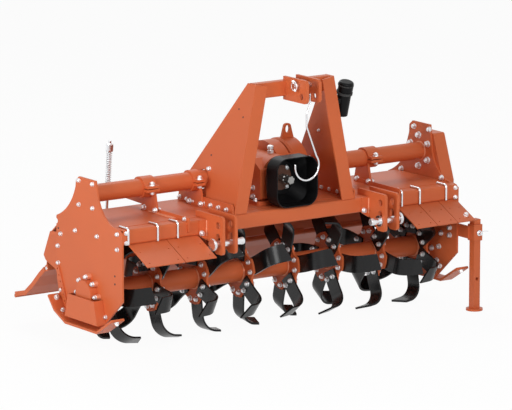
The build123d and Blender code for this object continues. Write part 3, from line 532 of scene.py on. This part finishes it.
def hex_fixing_tree():
    """A hex head on a washer with a stud end on every point, by its facing and its size."""
    tree, n, given, out = geometry_tree(
        "hex_fixings",
        [("Head Radius", 0.0118), ("Head Height", 0.0085), ("Washer Radius", 0.0145),
         ("Washer Height", 0.0022), ("Stud Radius", 0.0066), ("Stud Height", 0.0045)],
    )

    def drum(sides, radius, low, height, top=1.0):
        """A prism or a tapered drum standing on a height."""
        body = n.add(
            "GeometryNodeMeshCone",
            {"Vertices": sides, "Radius Bottom": radius,
             "Radius Top": n.math("MULTIPLY", radius, top), "Depth": height},
        ).outputs["Mesh"]
        lift = n.add("ShaderNodeCombineXYZ", {"Z": low}).outputs[0]
        return n.add("GeometryNodeTransform", {"Geometry": body, "Translation": lift}).outputs[0]

    washer = given["Washer Height"]
    head = given["Head Height"]
    head_top = n.math("ADD", washer, head)
    crown = n.math("MULTIPLY", head, 0.16)
    parts = [
        drum(20, given["Washer Radius"], 0.0, washer, 0.96),
        drum(6, given["Head Radius"], washer, head),
        drum(6, given["Head Radius"], head_top, crown, 0.80),
        drum(10, given["Stud Radius"], head_top, given["Stud Height"], 0.86),
    ]
    joined = n.add("GeometryNodeJoinGeometry")
    for part in parts:
        tree.links.new(part, joined.inputs[0])
    facing = n.add("GeometryNodeInputNamedAttribute", {"Name": "facing"}, data_type="FLOAT_VECTOR")
    size = n.add("GeometryNodeInputNamedAttribute", {"Name": "size"}, data_type="FLOAT")
    aim = n.add(
        "FunctionNodeAlignRotationToVector", {"Vector": facing.outputs["Attribute"]}, axis="Z"
    )
    twist = n.add("ShaderNodeCombineXYZ", {"Z": random_value(n, 0.0, math.tau, seed=7)})
    turn = n.add(
        "FunctionNodeRotateRotation",
        {"Rotation": aim.outputs[0], "Rotate By": twist.outputs[0]},
        rotation_space="LOCAL",
    )
    placed = n.add(
        "GeometryNodeInstanceOnPoints",
        {"Points": given["Geometry"], "Instance": joined.outputs[0],
         "Rotation": turn.outputs[0], "Scale": size.outputs["Attribute"]},
    )
    close_tree(n, out, placed.outputs[0], given["Finish"])
    return tree


def coil_tree():
    """A wound wire standing on the origin, its ends closed flat."""
    tree, n, given, out = geometry_tree(
        "wound_coil",
        [("Turns", 17.0), ("Coil Radius", 0.011), ("Wire Radius", 0.002), ("Length", 0.14)],
    )
    line = n.add(
        "GeometryNodeCurveSpiral",
        {"Resolution": 20, "Rotations": given["Turns"], "Start Radius": given["Coil Radius"],
         "End Radius": given["Coil Radius"], "Height": given["Length"]},
    )
    tube = tube_along(n, line.outputs[0], given["Wire Radius"], 8)
    close_tree(n, out, tube, given["Finish"], smooth=True)
    return tree


def bead_tree():
    """A weld bead along every edge of a wire mesh, its width wandering a little."""
    tree, n, given, out = geometry_tree("weld_bead", [("Bead Radius", 0.004), ("Step", 0.006)])
    line = n.add("GeometryNodeMeshToCurve", {"Mesh": given["Geometry"]}).outputs[0]
    line = n.add(
        "GeometryNodeResampleCurve", {"Curve": line, "Length": given["Step"]}, mode="LENGTH"
    ).outputs[0]
    wander = random_value(n, 0.75, 1.1, seed=3)
    tube = tube_along(n, line, given["Bead Radius"], 6, Scale=wander)
    close_tree(n, out, tube, given["Finish"], smooth=True)
    return tree


TREES = {}


def bake(name, mesh, tree_maker, finish, **sizes):
    """Runs a geometry tree on a mesh and keeps the result as a plain mesh with one finish."""
    if tree_maker not in TREES:
        TREES[tree_maker] = tree_maker()
    tree = TREES[tree_maker]
    holder = add_object(name + "_source", mesh)
    modifier = holder.modifiers.new("dress", "NODES")
    modifier.node_group = tree
    inputs = [item for item in tree.interface.items_tree if item.in_out == "INPUT"]
    sockets = {item.name: item.identifier for item in inputs}
    modifier[sockets["Finish"]] = material(finish)
    for label, value in sizes.items():
        modifier[sockets[label.replace("_", " ")]] = value
    graph = bpy.context.evaluated_depsgraph_get()
    result = bpy.data.meshes.new_from_object(holder.evaluated_get(graph), depsgraph=graph)
    bpy.data.objects.remove(holder)
    bpy.data.meshes.remove(mesh)
    result.name = name
    result.materials.clear()
    result.materials.append(material(finish))
    result.polygons.foreach_set("material_index", [0] * len(result.polygons))
    return add_object(name, result)


# a fixing's size is a share of the head radius in the settings
Fixing = namedtuple("Fixing", "spot facing size")
WASHER_TO_HEAD = 1.16
SURFACES = {}


def surface(node):
    """A search tree over one CAD node's surface."""
    if node not in SURFACES:
        piece = frame["nodes"][node]
        shape = bmesh.new()
        shape.from_mesh(piece.data)
        shape.transform(piece.matrix_world)
        SURFACES[node] = BVHTree.FromBMesh(shape)
        shape.free()
    return SURFACES[node]


def seated(node, start, aim, size):
    """A fixing where a line from a start point in millimetres meets a CAD node."""
    spot, normal, _, _ = surface(node).ray_cast(at(*start), aim)
    if spot is None:
        raise RuntimeError(f"{node} has no surface for a fixing from {start}")
    return Fixing(spot, normal, size)


def fit_fixings(name, fixings, body):
    """Hex fixings at every spot, as one piece on one body."""
    settings = bpy.context.scene.tiller_fixings
    mesh = bpy.data.meshes.new(name + "_spots")
    mesh.from_pydata([fixing.spot for fixing in fixings], [], [])
    mesh.attributes.new("facing", "FLOAT_VECTOR", "POINT")
    mesh.attributes.new("size", "FLOAT", "POINT")
    for number, fixing in enumerate(fixings):
        mesh.attributes["facing"].data[number].vector = fixing.facing
        mesh.attributes["size"].data[number].value = fixing.size
    piece = bake(
        name, mesh, hex_fixing_tree, "zinc_plate",
        Head_Radius=settings.head, Washer_Radius=settings.head * WASHER_TO_HEAD,
    )
    return hand_over(piece, body)


def lay_beads(name, lines, body):
    """Weld beads along lines of points, each (points, closed)."""
    vertices, edges = [], []
    for points, closed in lines:
        first = len(vertices)
        vertices += points
        edges += [(first + i, first + i + 1) for i in range(len(points) - 1)]
        if closed:
            edges.append((first + len(points) - 1, first))
    mesh = bpy.data.meshes.new(name + "_lines")
    mesh.from_pydata(vertices, edges, [])
    bead = bpy.context.scene.tiller_fixings.bead
    piece = bake(name, mesh, bead_tree, "orange_paint", Bead_Radius=bead)
    return hand_over(piece, body)


# ---- operators ----

# how far outside a face the line that seats a fixing starts
CLEAR = 60


class TILLER_OT_paint(bpy.types.Operator):
    """Make the finishes and put them on the CAD pieces"""

    bl_idname = "tiller.paint"
    bl_label = "Paint the Steelwork"

    def execute(self, context):
        settings = context.scene.tiller_paint
        groups = {"edge": soft_edge_group(), "skin": skin_group(), "dust": dust_group()}
        made = {row.name: make_material(row, groups, settings.wear) for row in finishes(settings)}
        slots = {part["node"]: part["material_slot"] for part in frame["record"]["subparts"]}
        for node, piece in frame["nodes"].items():
            finish = made[slots[node]]
            if not piece.material_slots:
                piece.data.materials.append(finish)
            for slot in piece.material_slots:
                slot.material = finish
        return {"FINISHED"}


class TILLER_OT_plate_fixings(bpy.types.Operator):
    """Bolt the end plates, the side drive, the skids and the bearing cover"""

    bl_idname = "tiller.plate_fixings"
    bl_label = "Bolt the End Plates"

    # y, z of each fixing or hole
    tube_foot = [(TUBE_Y + y, TUBE_Z + z) for y, z in ((-51, -50), (-51, 50), (51, -50), (51, 50))]
    left_plate = [
        (103, 244), (-60, 246), (215, 211), (237, 157), (236, 86), (-209, 279), (-209, 216),
    ]
    left_low = [(214, -25), (-119, -80)]
    right_plate = [
        (62, 507), (-45, 508), (150, 308), (-134, 312), (-213, 281), (-133, 71),
        (-194, 105), (-194, 72), (-120, 10), (-105, -53), (-126, -75), (-62, -116),
    ]
    # y, z of the small holes; the near-black discs on them are painted shade for their dark insides
    plate_holes = [(236, 231), (-187, 102), (-187, 69)]
    mast_holes = [(-152, 720), (-190, 692), (-12, 511)]
    tube_studs = [(TUBE_Y + y, TUBE_Z + z) for y, z in on_circle(67, 22, 63, 6)]
    bearing_ring = on_circle(69, -4, 47, 5)
    cover_foot = on_circle(98, 200, 35, 5)

    boss_height = 18
    cover_top = 462
    cover_drop = 430
    cover_half = 62
    cover_spread = 34
    screws_a_side = 5

    def plate_bolts(self):
        """Bolts on both faces of the left plate and inside the right one."""
        for y, z in self.tube_foot + self.left_plate:
            yield seated("left_end_plate", (-OUTER - CLEAR, y, z), RIGHT, 0.78)
            yield seated("left_end_plate", (0, y, z), LEFT, 0.95)
        for y, z in self.right_plate:
            yield seated("right_end_plate", (0, y, z), RIGHT, 0.98)
        for y, z in self.tube_studs:
            yield seated("right_end_plate", (0, y, z), RIGHT, 1.2)

    def bosses(self):
        """Bosses beside the bearing's cover."""
        profile = [(0, 13), (self.boss_height, 11)]
        return [turned("boss", profile, at(-OUTER, y, z), LEFT, 20) for y, z in self.bearing_ring]

    def bearing_bolts(self):
        """Bolts on the bosses, and those at the rotor's other end."""
        for y, z in self.bearing_ring:
            yield Fixing(at(-OUTER - self.boss_height, y, z), LEFT, 0.85)
            yield seated("right_end_plate", (0, y, z), RIGHT, 1.0)

    def cover_screws(self):
        """Low screws down both sides of the side drive's cover and round its foot."""
        places = []
        for side in SIDES:
            for number in range(self.screws_a_side):
                share = number / (self.screws_a_side - 1)
                y = TUBE_Y * (1 - share) + side * (self.cover_half + self.cover_spread * share)
                places.append((y, self.cover_top - self.cover_drop * share))
        profile = [(0, 9.5), (0.9, 9.5), (1.6, 8.2), (1.6, 4.4), (0.6, 4.2)]
        outside = reach("side_drive_case")[1].x + CLEAR
        seats = [
            seated("side_drive_case", (outside, y, z), LEFT, 1) for y, z in places + self.cover_foot
        ]
        return [turned("screw", profile, seat.spot, seat.facing, 20) for seat in seats]

    def skid_bolts(self):
        """Two bolts on each skid's rear end and two on its turned-up front."""
        for skid in ("left_skid", "right_skid"):
            low, high = reach(skid)
            x = (low.x + high.x) / 2
            for y in (high.y - 19, high.y - 68):
                yield seated(skid, (x, y, 100), DOWN, 0.85)
            for rise in (84, 62):
                yield seated(skid, (x, -400, low.z + rise), REAR, 0.85)

    def hole_shade_discs(self):
        """Near-black discs over the small holes in the left plate and the left mast leg: painted
        shade that stands in for the dark inside of each hole.
        """
        hole_shade_discs = [
            turned("plate_hole_shade", [(0, 4.5), (0.8, 4.2)], at(-OUTER, y, z), LEFT, 12)
            for y, z in self.plate_holes
        ]
        for y, z in self.mast_holes:
            hole = seated("left_mast_leg", (-500, y, z), RIGHT, 1)
            hole_shade_discs.append(turned("mast_hole_shade", [(0, 4), (0.8, 3.8)], hole.spot, hole.facing, 12))
        return hole_shade_discs

    def execute(self, context):
        settle(join("bearing_bosses", self.bosses()), FRAME, "orange_paint")
        settle(join("side_drive_screws", self.cover_screws()), FRAME, "zinc_plate")
        fixings = [*self.plate_bolts(), *self.bearing_bolts(), *self.skid_bolts()]
        for y, z in self.left_low:
            fixings.append(seated("left_end_plate", (-OUTER - CLEAR, y, z), RIGHT, 0.8))
        fit_fixings("end_plate_fixings", fixings, FRAME)
        # near-black discs as painted shade in the small holes
        settle(join("painted_hole_shade", self.hole_shade_discs()), FRAME, "black_plastic")
        return {"FINISHED"}


class TILLER_OT_frame_fixings(bpy.types.Operator):
    """Bolt the tube clamps, ribs, hitch saddles, gearbox, shield and guards"""

    bl_idname = "tiller.frame_fixings"
    bl_label = "Bolt the Frame"

    clamps = (("outer_tube_clamps", 60), ("inner_tube_clamps", 42))
    rib_bolts = 7
    rib_pitch = 57
    # x of each side's bolts
    saddle_x = (350, 474)
    beam_end_x = 838
    deck_rib_x = 620
    foot_y = (-112, -30, 60)
    change_cover = [(TUBE_Y + y, STUB_Z + z) for y, z in on_circle(112, 22.5, 45, 8)]
    # the shield's bolts: y of its face, and how far out they are
    shield_y = -137
    shield_x, shield_z = 29, 39.5

    def clamp_bolts(self):
        """An upright bolt through each clamp's ears, and bolts through both sides of its foot."""
        for node, width in self.clamps:
            low, high = reach(node)
            ear_y = low.y + 12
            for x in (low.x + width / 2, high.x - width / 2):
                yield seated(node, (x, ear_y, high.z + CLEAR), DOWN, 1.0)
                yield seated(node, (x, ear_y, TUBE_Z - 40), UP, 0.9)
                for y in (TUBE_Y - 50, TUBE_Y + 32):
                    for aim in (RIGHT, LEFT):
                        start = (x - aim.x * (width / 2 + 8), y, DECK + 14)
                        yield seated(node, start, aim, 0.95)

    def mast_bolts(self):
        """A row of bolts and nuts along each mast rib, and one bolt on each leg."""
        for side in SIDES:
            for number in range(self.rib_bolts):
                y = -196 + self.rib_pitch * number
                for x, facing in ((297.5, LEFT), (313.2, RIGHT)):
                    yield Fixing(at(side * x, y, DECK + 16), facing * side, 0.85)
        yield seated("left_mast_leg", (-500, -15, 455), RIGHT, 0.85)
        yield seated("right_mast_leg", (0, -76, 573), RIGHT, 0.6)

    def beam_bolts(self):
        """Bolts in the hitch saddles, at both ends of the beam and on the deck's ribs."""
        lower = BEAM_LOW.z + 10
        for side in SIDES:
            for x in self.saddle_x:
                yield Fixing(at(side * x, SADDLE_Y, lower), FRONT, 0.95)
            for z in (lower, DECK - 14):
                yield seated("front_beam", (side * self.beam_end_x, -400, z), REAR, 0.75)
            start = (side * self.deck_rib_x, -225, DECK + 8)
            yield seated("deck_ribs", start, LEFT * side, 0.75)

    def gearbox_bolts(self):
        """Bolts in the gearbox's foot, on its left cheek and round its cover, and the shield's."""
        for x in (BOX_LOW.x + 9, BOX_HIGH.x - 9):
            for y in self.foot_y:
                yield seated("gearbox", (x, y, DECK + CLEAR), DOWN, 0.85)
        for y in (-84, 80):
            for z in (367, 330):
                yield seated("gearbox", (-250, y, z), RIGHT, 0.9)
        for y, z in self.change_cover:
            yield seated("gearbox", (BOX_HIGH.x + CLEAR, y, z), LEFT, 0.6)
        for x in (-self.shield_x, self.shield_x):
            for z in (STUB_Z - self.shield_z, STUB_Z + self.shield_z):
                yield Fixing(at(x, self.shield_y, z), FRONT, 0.85)

    def guard_bolts(self):
        """The two bolts of the last guard on the right."""
        low, high = reach("right_front_guards")
        for y in (high.y - 22, low.y + 34):
            yield seated("right_front_guards", (high.x - 26, y, high.z + CLEAR), DOWN, 0.9)

    def execute(self, context):
        fixings = [
            *self.clamp_bolts(), *self.mast_bolts(), *self.beam_bolts(),
            *self.gearbox_bolts(), *self.guard_bolts(),
        ]
        fit_fixings("frame_fixings", fixings, FRAME)
        return {"FINISHED"}


class TILLER_OT_tine_bolts(bpy.types.Operator):
    """Bolt every tine to its flange, with two bolts each"""

    bl_idname = "tiller.tine_bolts"
    bl_label = "Bolt the Tines"

    per_flange = 6
    first_angle = -26.5
    angle_step = 12
    bolt_circle = 88
    bolt_apart = 21
    tine_plate = 8.2

    def hand(self, flange, turn):
        """1 on its flange's right face and -1 on its left. Both end flanges throw inwards."""
        if flange == 0:
            return 1
        if flange == FLANGES - 1 or turn % 2:
            return -1
        return 1

    def bolts(self):
        """Both ends of both bolts of every tine."""
        for flange, x in enumerate(flange_places()):
            for turn in range(self.per_flange):
                hand = self.hand(flange, turn)
                degrees = self.first_angle + self.angle_step * flange + 360 / self.per_flange * turn
                along, up = polar(degrees, 1)
                out, side = Vector((0, up, -along)), Vector((0, along, up))
                tine_face = x + hand * (FLANGE_HALF + self.tine_plate)
                flange_face = x - hand * FLANGE_HALF
                for apart in (-self.bolt_apart, self.bolt_apart):
                    spot = out * self.bolt_circle + side * apart
                    yield Fixing(at(tine_face, spot.y, spot.z), RIGHT * hand, 0.88)
                    yield Fixing(at(flange_face, spot.y, spot.z), LEFT * hand, 0.88)

    def execute(self, context):
        fit_fixings("tine_bolts", list(self.bolts()), ROTOR)
        return {"FINISHED"}


class TILLER_OT_spring(bpy.types.Operator):
    """Wind the tailboard spring on its rod and add its cups and its nut"""

    bl_idname = "tiller.spring"
    bl_label = "Wind the Spring"

    coil_outer = 13
    end_gap = 2.5
    nut_above = 34
    cup_profile = [(-2, 9), (-2, 14.5), (1.5, 14.5), (1.5, 9)]
    nut_profile = [(-30, 13), (-28, 16.8), (-6, 16.8), (-4, 14), (0, 13)]

    def execute(self, context):
        settings = context.scene.tiller_fixings
        low, high = reach("tailboard_spring")
        lean = math.atan2(high.y - low.y - 2 * self.coil_outer, high.z - low.z)
        along = Vector((0, -math.sin(lean), math.cos(lean)))
        middle = (low + high) / 2
        length = (high.z - low.z - 2.6) / math.cos(lean)
        foot, crown = middle - along * length / 2, middle + along * length / 2
        seed = bpy.data.meshes.new("spring_seed")
        seed.from_pydata([(0, 0, 0)], [], [])
        coil = bake(
            "tailboard_coil", seed, coil_tree, "zinc_plate",
            Turns=float(settings.coils),
            Coil_Radius=self.coil_outer * MM - settings.coil_wire,
            Wire_Radius=settings.coil_wire,
            Length=(length - 2 * self.end_gap) * MM,
        )
        stand = along.to_track_quat("Z", "Y").to_matrix().to_4x4()
        coil.data.transform(Matrix.Translation(at(*(foot + along * self.end_gap))) @ stand)
        hand_over(coil, ROD)
        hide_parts("tailboard_spring")
        tip = crown + along * self.nut_above
        caps = [turned("spring_cup", self.cup_profile, at(*spot), along) for spot in (foot, crown)]
        caps.append(turned("rod_nut", self.nut_profile, at(*tip), along, 6))
        settle(join("spring_cups", caps), ROD, "zinc_plate")
        return {"FINISHED"}


class TILLER_OT_input_stub(bpy.types.Operator):
    """Cut the splines of the input stub and seat its seal"""

    bl_idname = "tiller.input_stub"
    bl_label = "Spline the Input Stub"

    crest = 17.5
    root = 14.6
    groove = 14.2
    points_a_tooth = 8
    flank = 0.08
    # depth from the stub's tip, and how full the splines stand there
    stations = [(0, 0.80), (3, 1.0), (26, 1.0), (27.5, 0.0), (33.5, 0.0), (35, 1.0), (74, 1.0)]
    collar_profile = [(0, 24), (2, 29), (14, 29), (30, 29)]
    lip_profile = [(0, 30), (0, 44), (5, 46), (9, 46), (9, 30)]
    nose_profile = [(-4, 50), (-4, 52.5), (-1, 54), (4, 54), (4, 50)]

    def splined_ring(self, y, fullness, teeth):
        """Points round the stub: the first half of each tooth's share is its crest."""
        count = teeth * self.points_a_tooth
        half = self.points_a_tooth // 2
        ring = []
        for step in range(count):
            place = step % self.points_a_tooth
            full = self.crest if place < half else self.root
            radius = self.groove + (full - self.groove) * fullness
            lag = self.flank if place in (0, half) else 0
            x, z = polar(360 * (step + lag) / count, radius)
            ring.append(at(x, y, STUB_Z + z))
        return ring

    def execute(self, context):
        teeth = context.scene.tiller_fixings.splines
        tip = reach("pto_stub")[0].y
        rings = [self.splined_ring(tip + depth, full, teeth) for depth, full in self.stations]
        collar = turned("stub_collar", self.collar_profile, at(0, -140, STUB_Z), REAR)
        stub = join("input_stub", [lofted("splined_stub", rings), collar])
        settle(stub, INPUT, "bare_steel")
        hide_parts("pto_stub")
        for name, profile, y in (
            ("input_seal", self.lip_profile, -141), ("input_nose_ring", self.nose_profile, -136)
        ):
            settle(turned(name, profile, at(0, y, STUB_Z), REAR, 48), FRAME, "seal_rubber")
        return {"FINISHED"}


class TILLER_OT_hitch_clips(bpy.types.Operator):
    """Put a linch pin, pin tips and collars on the hitch pins and a clip on the stand's pin"""

    bl_idname = "tiller.hitch_clips"
    bl_label = "Clip the Hitch Pins"

    tip_profile = [(0, 12), (3, 14.8), (15, 14.8), (16, 14)]
    collar_profile = [(0, 20), (2, 25.5), (6, 25.5), (8, 16)]
    cap_profile = [(0, 4), (1, 7.5), (5, 7.5), (7, 5)]
    top_pin_radius = 12.5
    ring_clear = 6
    ring_wire = 2.2
    clip_wire = 1.6
    # steps from the middle of the stand pin's eye
    clip_bends = [(0, 0, -9), (0, -2, 6), (10, -5, 10), (24, -7, 9), (34, -6, 7)]

    def linch(self, middle, along, radius):
        """A linch pin with its sprung ring round the pin's end."""
        up = Vector((0, 0.35, 0.94)).normalized()
        loop = circle_points(middle, along, radius + self.ring_clear, 14)
        foot = middle - up * (radius + 9) * MM
        length = 2 * radius + 14
        bar = [(-2, 3.2), (0, 4.8), (length - 2, 4.8), (length, 3.0)]
        return [
            wire("linch_ring", loop, self.ring_wire, closed=True),
            turned("linch_bar", bar, foot, up, 16),
            turned("linch_cap", self.cap_profile, middle + up * (radius + 5) * MM, up, 16),
        ]

    def execute(self, context):
        pieces = []
        low, high = reach("right_lower_pin")
        y, z = centre("right_lower_pin").yz
        for side in SIDES:
            inboard, outboard = at(side * (low.x - 1), y, z), at(side * (high.x - 9), y, z)
            pieces.append(turned("lower_tip", self.tip_profile, inboard, RIGHT * side, 28))
            pieces.append(turned("lower_collar", self.collar_profile, outboard, RIGHT * side, 36))
        y, z = centre("top_hitch_pin").yz
        pin_end = at(reach("top_hitch_pin")[0].x + 5, y, z)
        pieces += self.linch(pin_end, RIGHT, self.top_pin_radius)
        settle(join("hitch_clips", pieces), FRAME, "zinc_plate")
        middle = centre("stand_pin")
        eye = at(middle.x, reach("stand_pin")[0].y + 5, middle.z)
        bends = [eye + Vector(step) * MM for step in self.clip_bends]
        settle(wire("stand_clip", bends, self.clip_wire), FRAME, "zinc_plate")
        return {"FINISHED"}


class TILLER_OT_gearbox_trim(bpy.types.Operator):
    """Fit the breather, the level plug and the canister's bands"""

    bl_idname = "tiller.gearbox_trim"
    bl_label = "Trim the Gearbox"

    hex_profile = [(-1, 14), (11, 14)]
    cap_profile = [(11, 7.5), (17, 7.5), (17, 12), (19, 13.5), (29, 13.5), (32, 11), (34, 5)]
    plug_profile = [(0, 14), (3, 14), (3, 10), (11, 10), (12, 9)]
    canister_tilt = math.radians(16)
    band_inner = 30
    # distance back from the canister's crown, width, radius
    bands = ((52, 10, 34.5), (14, 5, 33.6))

    def execute(self, context):
        top = seated("gearbox", (2, -62, BOX_HIGH.z + CLEAR), DOWN, 1).spot
        breather = [
            turned("breather_hex", self.hex_profile, top, UP, 6),
            turned("breather_cap", self.cap_profile, top, UP, 24),
        ]
        settle(join("breather", breather), FRAME, "zinc_plate")
        cheek = at(BOX_LOW.x, 10, STUB_Z - 40)
        settle(turned("level_plug", self.plug_profile, cheek, LEFT, 6), FRAME, "zinc_plate")
        low, high = reach("manual_canister")
        crown = Vector((high.x - 32, low.y + 31, high.z - 10))
        along = Vector((0, -math.sin(self.canister_tilt), math.cos(self.canister_tilt)))
        bands = []
        for back, width, radius in self.bands:
            profile = [(0, self.band_inner), (0, radius), (width, radius), (width, self.band_inner)]
            bands.append(turned("band", profile, at(*(crown - along * back)), along, 40))
        settle(join("canister_bands", bands), FRAME, "black_plastic")
        return {"FINISHED"}


class TILLER_OT_welds(bpy.types.Operator):
    """Run weld beads round the flanges, the tube's ends, the hitches and the ribs"""

    bl_idname = "tiller.welds"
    bl_label = "Lay the Welds"

    shaft_radius = 44.5
    tube_radius = 37.5
    # the faces of a hitch's two plates, in from each edge of the hitch
    hitch_faces = (35, 47)
    rib_faces = (549, 541)
    rib_front, rib_rear = -160, 30

    def execute(self, context):
        rotor = [
            (circle_points(at(x + side, 0, 0), RIGHT, self.shaft_radius, 28), True)
            for x in flange_places()
            for side in (-FLANGE_HALF - 0.5, FLANGE_HALF + 0.5)
        ]
        lay_beads("rotor_welds", rotor, ROTOR)
        lines = [
            (circle_points(at(x, TUBE_Y, TUBE_Z), RIGHT, self.tube_radius, 24), True)
            for x in (-INNER + 1, INNER - 1)
        ]
        low, high = reach("right_lower_hitch")
        faces = [low.x + step for step in self.hitch_faces]
        faces += [high.x - step for step in reversed(self.hitch_faces)]
        for side in SIDES:
            for x in faces:
                ends = [at(side * x, SADDLE_Y, z) for z in (BEAM_LOW.z - 4, DECK - 4)]
                lines.append((ends, False))
        for x in self.rib_faces:
            for side in SIDES:
                ends = [at(side * x, y, DECK + 1) for y in (self.rib_front, self.rib_rear)]
                lines.append((ends, False))
        lay_beads("frame_welds", lines, FRAME)
        return {"FINISHED"}


class TILLER_OT_studio(bpy.types.Operator):
    """Set the floor, the lamps and the camera"""

    bl_idname = "tiller.studio"
    bl_label = "Build the Studio"

    lamps = (
        # name, place from the machine's middle, size, power
        ("key", (-5.3, -1.3, 1.3), 2.2, 130.0),
        ("front", (-1.2, -5.0, 2.4), 2.8, 122.0),
        ("rim", (1.0, 2.6, 4.0), 2.6, 70.0),
    )
    floor_half_m = 30.0
    floor_gap_m = 0.0005
    floor_glow = 0.95
    lens_length = 300.0
    sensor_width = 36.0
    distance_m = 17.86
    clip_m = (0.5, 120.0)
    aim = (-27.8, 0, 271.2)

    def execute(self, context):
        scene = context.scene
        settings = scene.tiller_studio
        low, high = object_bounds()
        middle = (low + high) / 2
        self.floor(settings, middle, low.z - self.floor_gap_m)
        for name, place, size, power in self.lamps:
            lamp = bpy.data.lights.new(name, "AREA")
            lamp.energy, lamp.shape, lamp.size = power, "DISK", size
            self.look_at(add_object(name, lamp), middle, Vector(place))
        self.sky(scene, settings)
        self.camera(scene, settings)
        scene.view_settings.view_transform = "Standard"
        return {"FINISHED"}

    def look_at(self, holder, target, offset):
        """Stands a lamp or the camera at an offset from its target and turns it to face it."""
        holder.location = target + offset
        holder.rotation_euler = (-offset).to_track_quat("-Z", "Y").to_euler()

    def seen_directly(self, n):
        """1 where the camera, a reflection or a clear piece looks at the backdrop."""
        rays = n.add("ShaderNodeLightPath").outputs
        mirrored = n.math("MAXIMUM", rays["Is Glossy Ray"], rays["Is Transmission Ray"])
        return n.math("MAXIMUM", rays["Is Camera Ray"], mirrored)

    def floor(self, settings, middle, height):
        """A wide pale floor under the machine."""
        half = self.floor_half_m
        corners = ((-half, -half), (half, -half), (half, half), (-half, half))
        mesh = bpy.data.meshes.new("studio_floor")
        spots = [(middle.x + x, middle.y + y, height) for x, y in corners]
        mesh.from_pydata(spots, [], [(0, 1, 2, 3)])
        mesh.materials.append(self.floor_material(settings))
        add_object("studio_floor", mesh)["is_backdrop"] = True

    def floor_material(self, settings):
        """Shows nearly white to the camera and keeps the shadow."""
        finish = bpy.data.materials.new("studio_floor")
        n = emptied(finish)
        plain = n.add("ShaderNodeBsdfDiffuse", {"Color": (*settings.floor, 1)})
        glow = n.add("ShaderNodeEmission", {"Color": (1, 1, 1, 1), "Strength": 1.0})
        seen = n.math("MULTIPLY", self.seen_directly(n), self.floor_glow)
        mix = n.add("ShaderNodeMixShader", {0: seen, 1: plain.outputs[0], 2: glow.outputs[0]})
        n.add("ShaderNodeOutputMaterial", {"Surface": mix.outputs[0]})
        return finish

    def sky(self, scene, settings):
        """Even light from all round, white behind the machine."""
        world = bpy.data.worlds.new("studio_sky")
        n = emptied(world)
        even, white = [
            n.add("ShaderNodeBackground", {"Color": (1, 1, 1, 1), "Strength": strength}).outputs[0]
            for strength in (settings.sky, 1.0)
        ]
        mix = n.add("ShaderNodeMixShader", {0: self.seen_directly(n), 1: even, 2: white})
        n.add("ShaderNodeOutputWorld", {"Surface": mix.outputs[0]})
        scene.world = world

    def camera(self, scene, settings):
        """A long lens to the left of the front, a little above."""
        lens = bpy.data.cameras.new("camera")
        lens.lens, lens.sensor_width = self.lens_length, self.sensor_width
        lens.clip_start, lens.clip_end = self.clip_m
        azimuth, elevation = -settings.azimuth, settings.elevation
        level = math.cos(elevation)
        back = Vector((
            math.sin(azimuth) * level, -math.cos(azimuth) * level, math.sin(elevation)
        ))
        scene.camera = add_object("camera", lens)
        self.look_at(scene.camera, at(*self.aim), back * self.distance_m)


class TILLER_PT_panel(bpy.types.Panel):
    """Lists the dressing steps"""

    bl_idname = "TILLER_PT_panel"
    bl_label = "Rotary Tiller"
    bl_space_type = "VIEW_3D"
    bl_region_type = "UI"
    bl_category = "Tiller"

    def draw(self, context):
        column = self.layout.column()
        for group in GROUPS:
            settings = getattr(context.scene, group)
            for name in settings.__annotations__:
                column.prop(settings, name)
        for step in STEPS:
            column.operator(step.bl_idname)


GROUPS = {
    "tiller_paint": TillerPaint,
    "tiller_fixings": TillerFixings,
    "tiller_studio": TillerStudio,
}
STEPS = (
    TILLER_OT_paint,
    TILLER_OT_plate_fixings,
    TILLER_OT_frame_fixings,
    TILLER_OT_tine_bolts,
    TILLER_OT_spring,
    TILLER_OT_input_stub,
    TILLER_OT_hitch_clips,
    TILLER_OT_gearbox_trim,
    TILLER_OT_welds,
    TILLER_OT_studio,
)
CLASSES = (*GROUPS.values(), *STEPS, TILLER_PT_panel)


def register():
    for cls in CLASSES:
        bpy.utils.register_class(cls)
    for name, group in GROUPS.items():
        setattr(bpy.types.Scene, name, PointerProperty(type=group))


def unregister():
    for name in GROUPS:
        delattr(bpy.types.Scene, name)
    for cls in reversed(CLASSES):
        bpy.utils.unregister_class(cls)


def main():
    register()
    for step in STEPS:
        family, name = step.bl_idname.split(".")
        getattr(getattr(bpy.ops, family), name)()


if __name__ == "__main__":
    main()
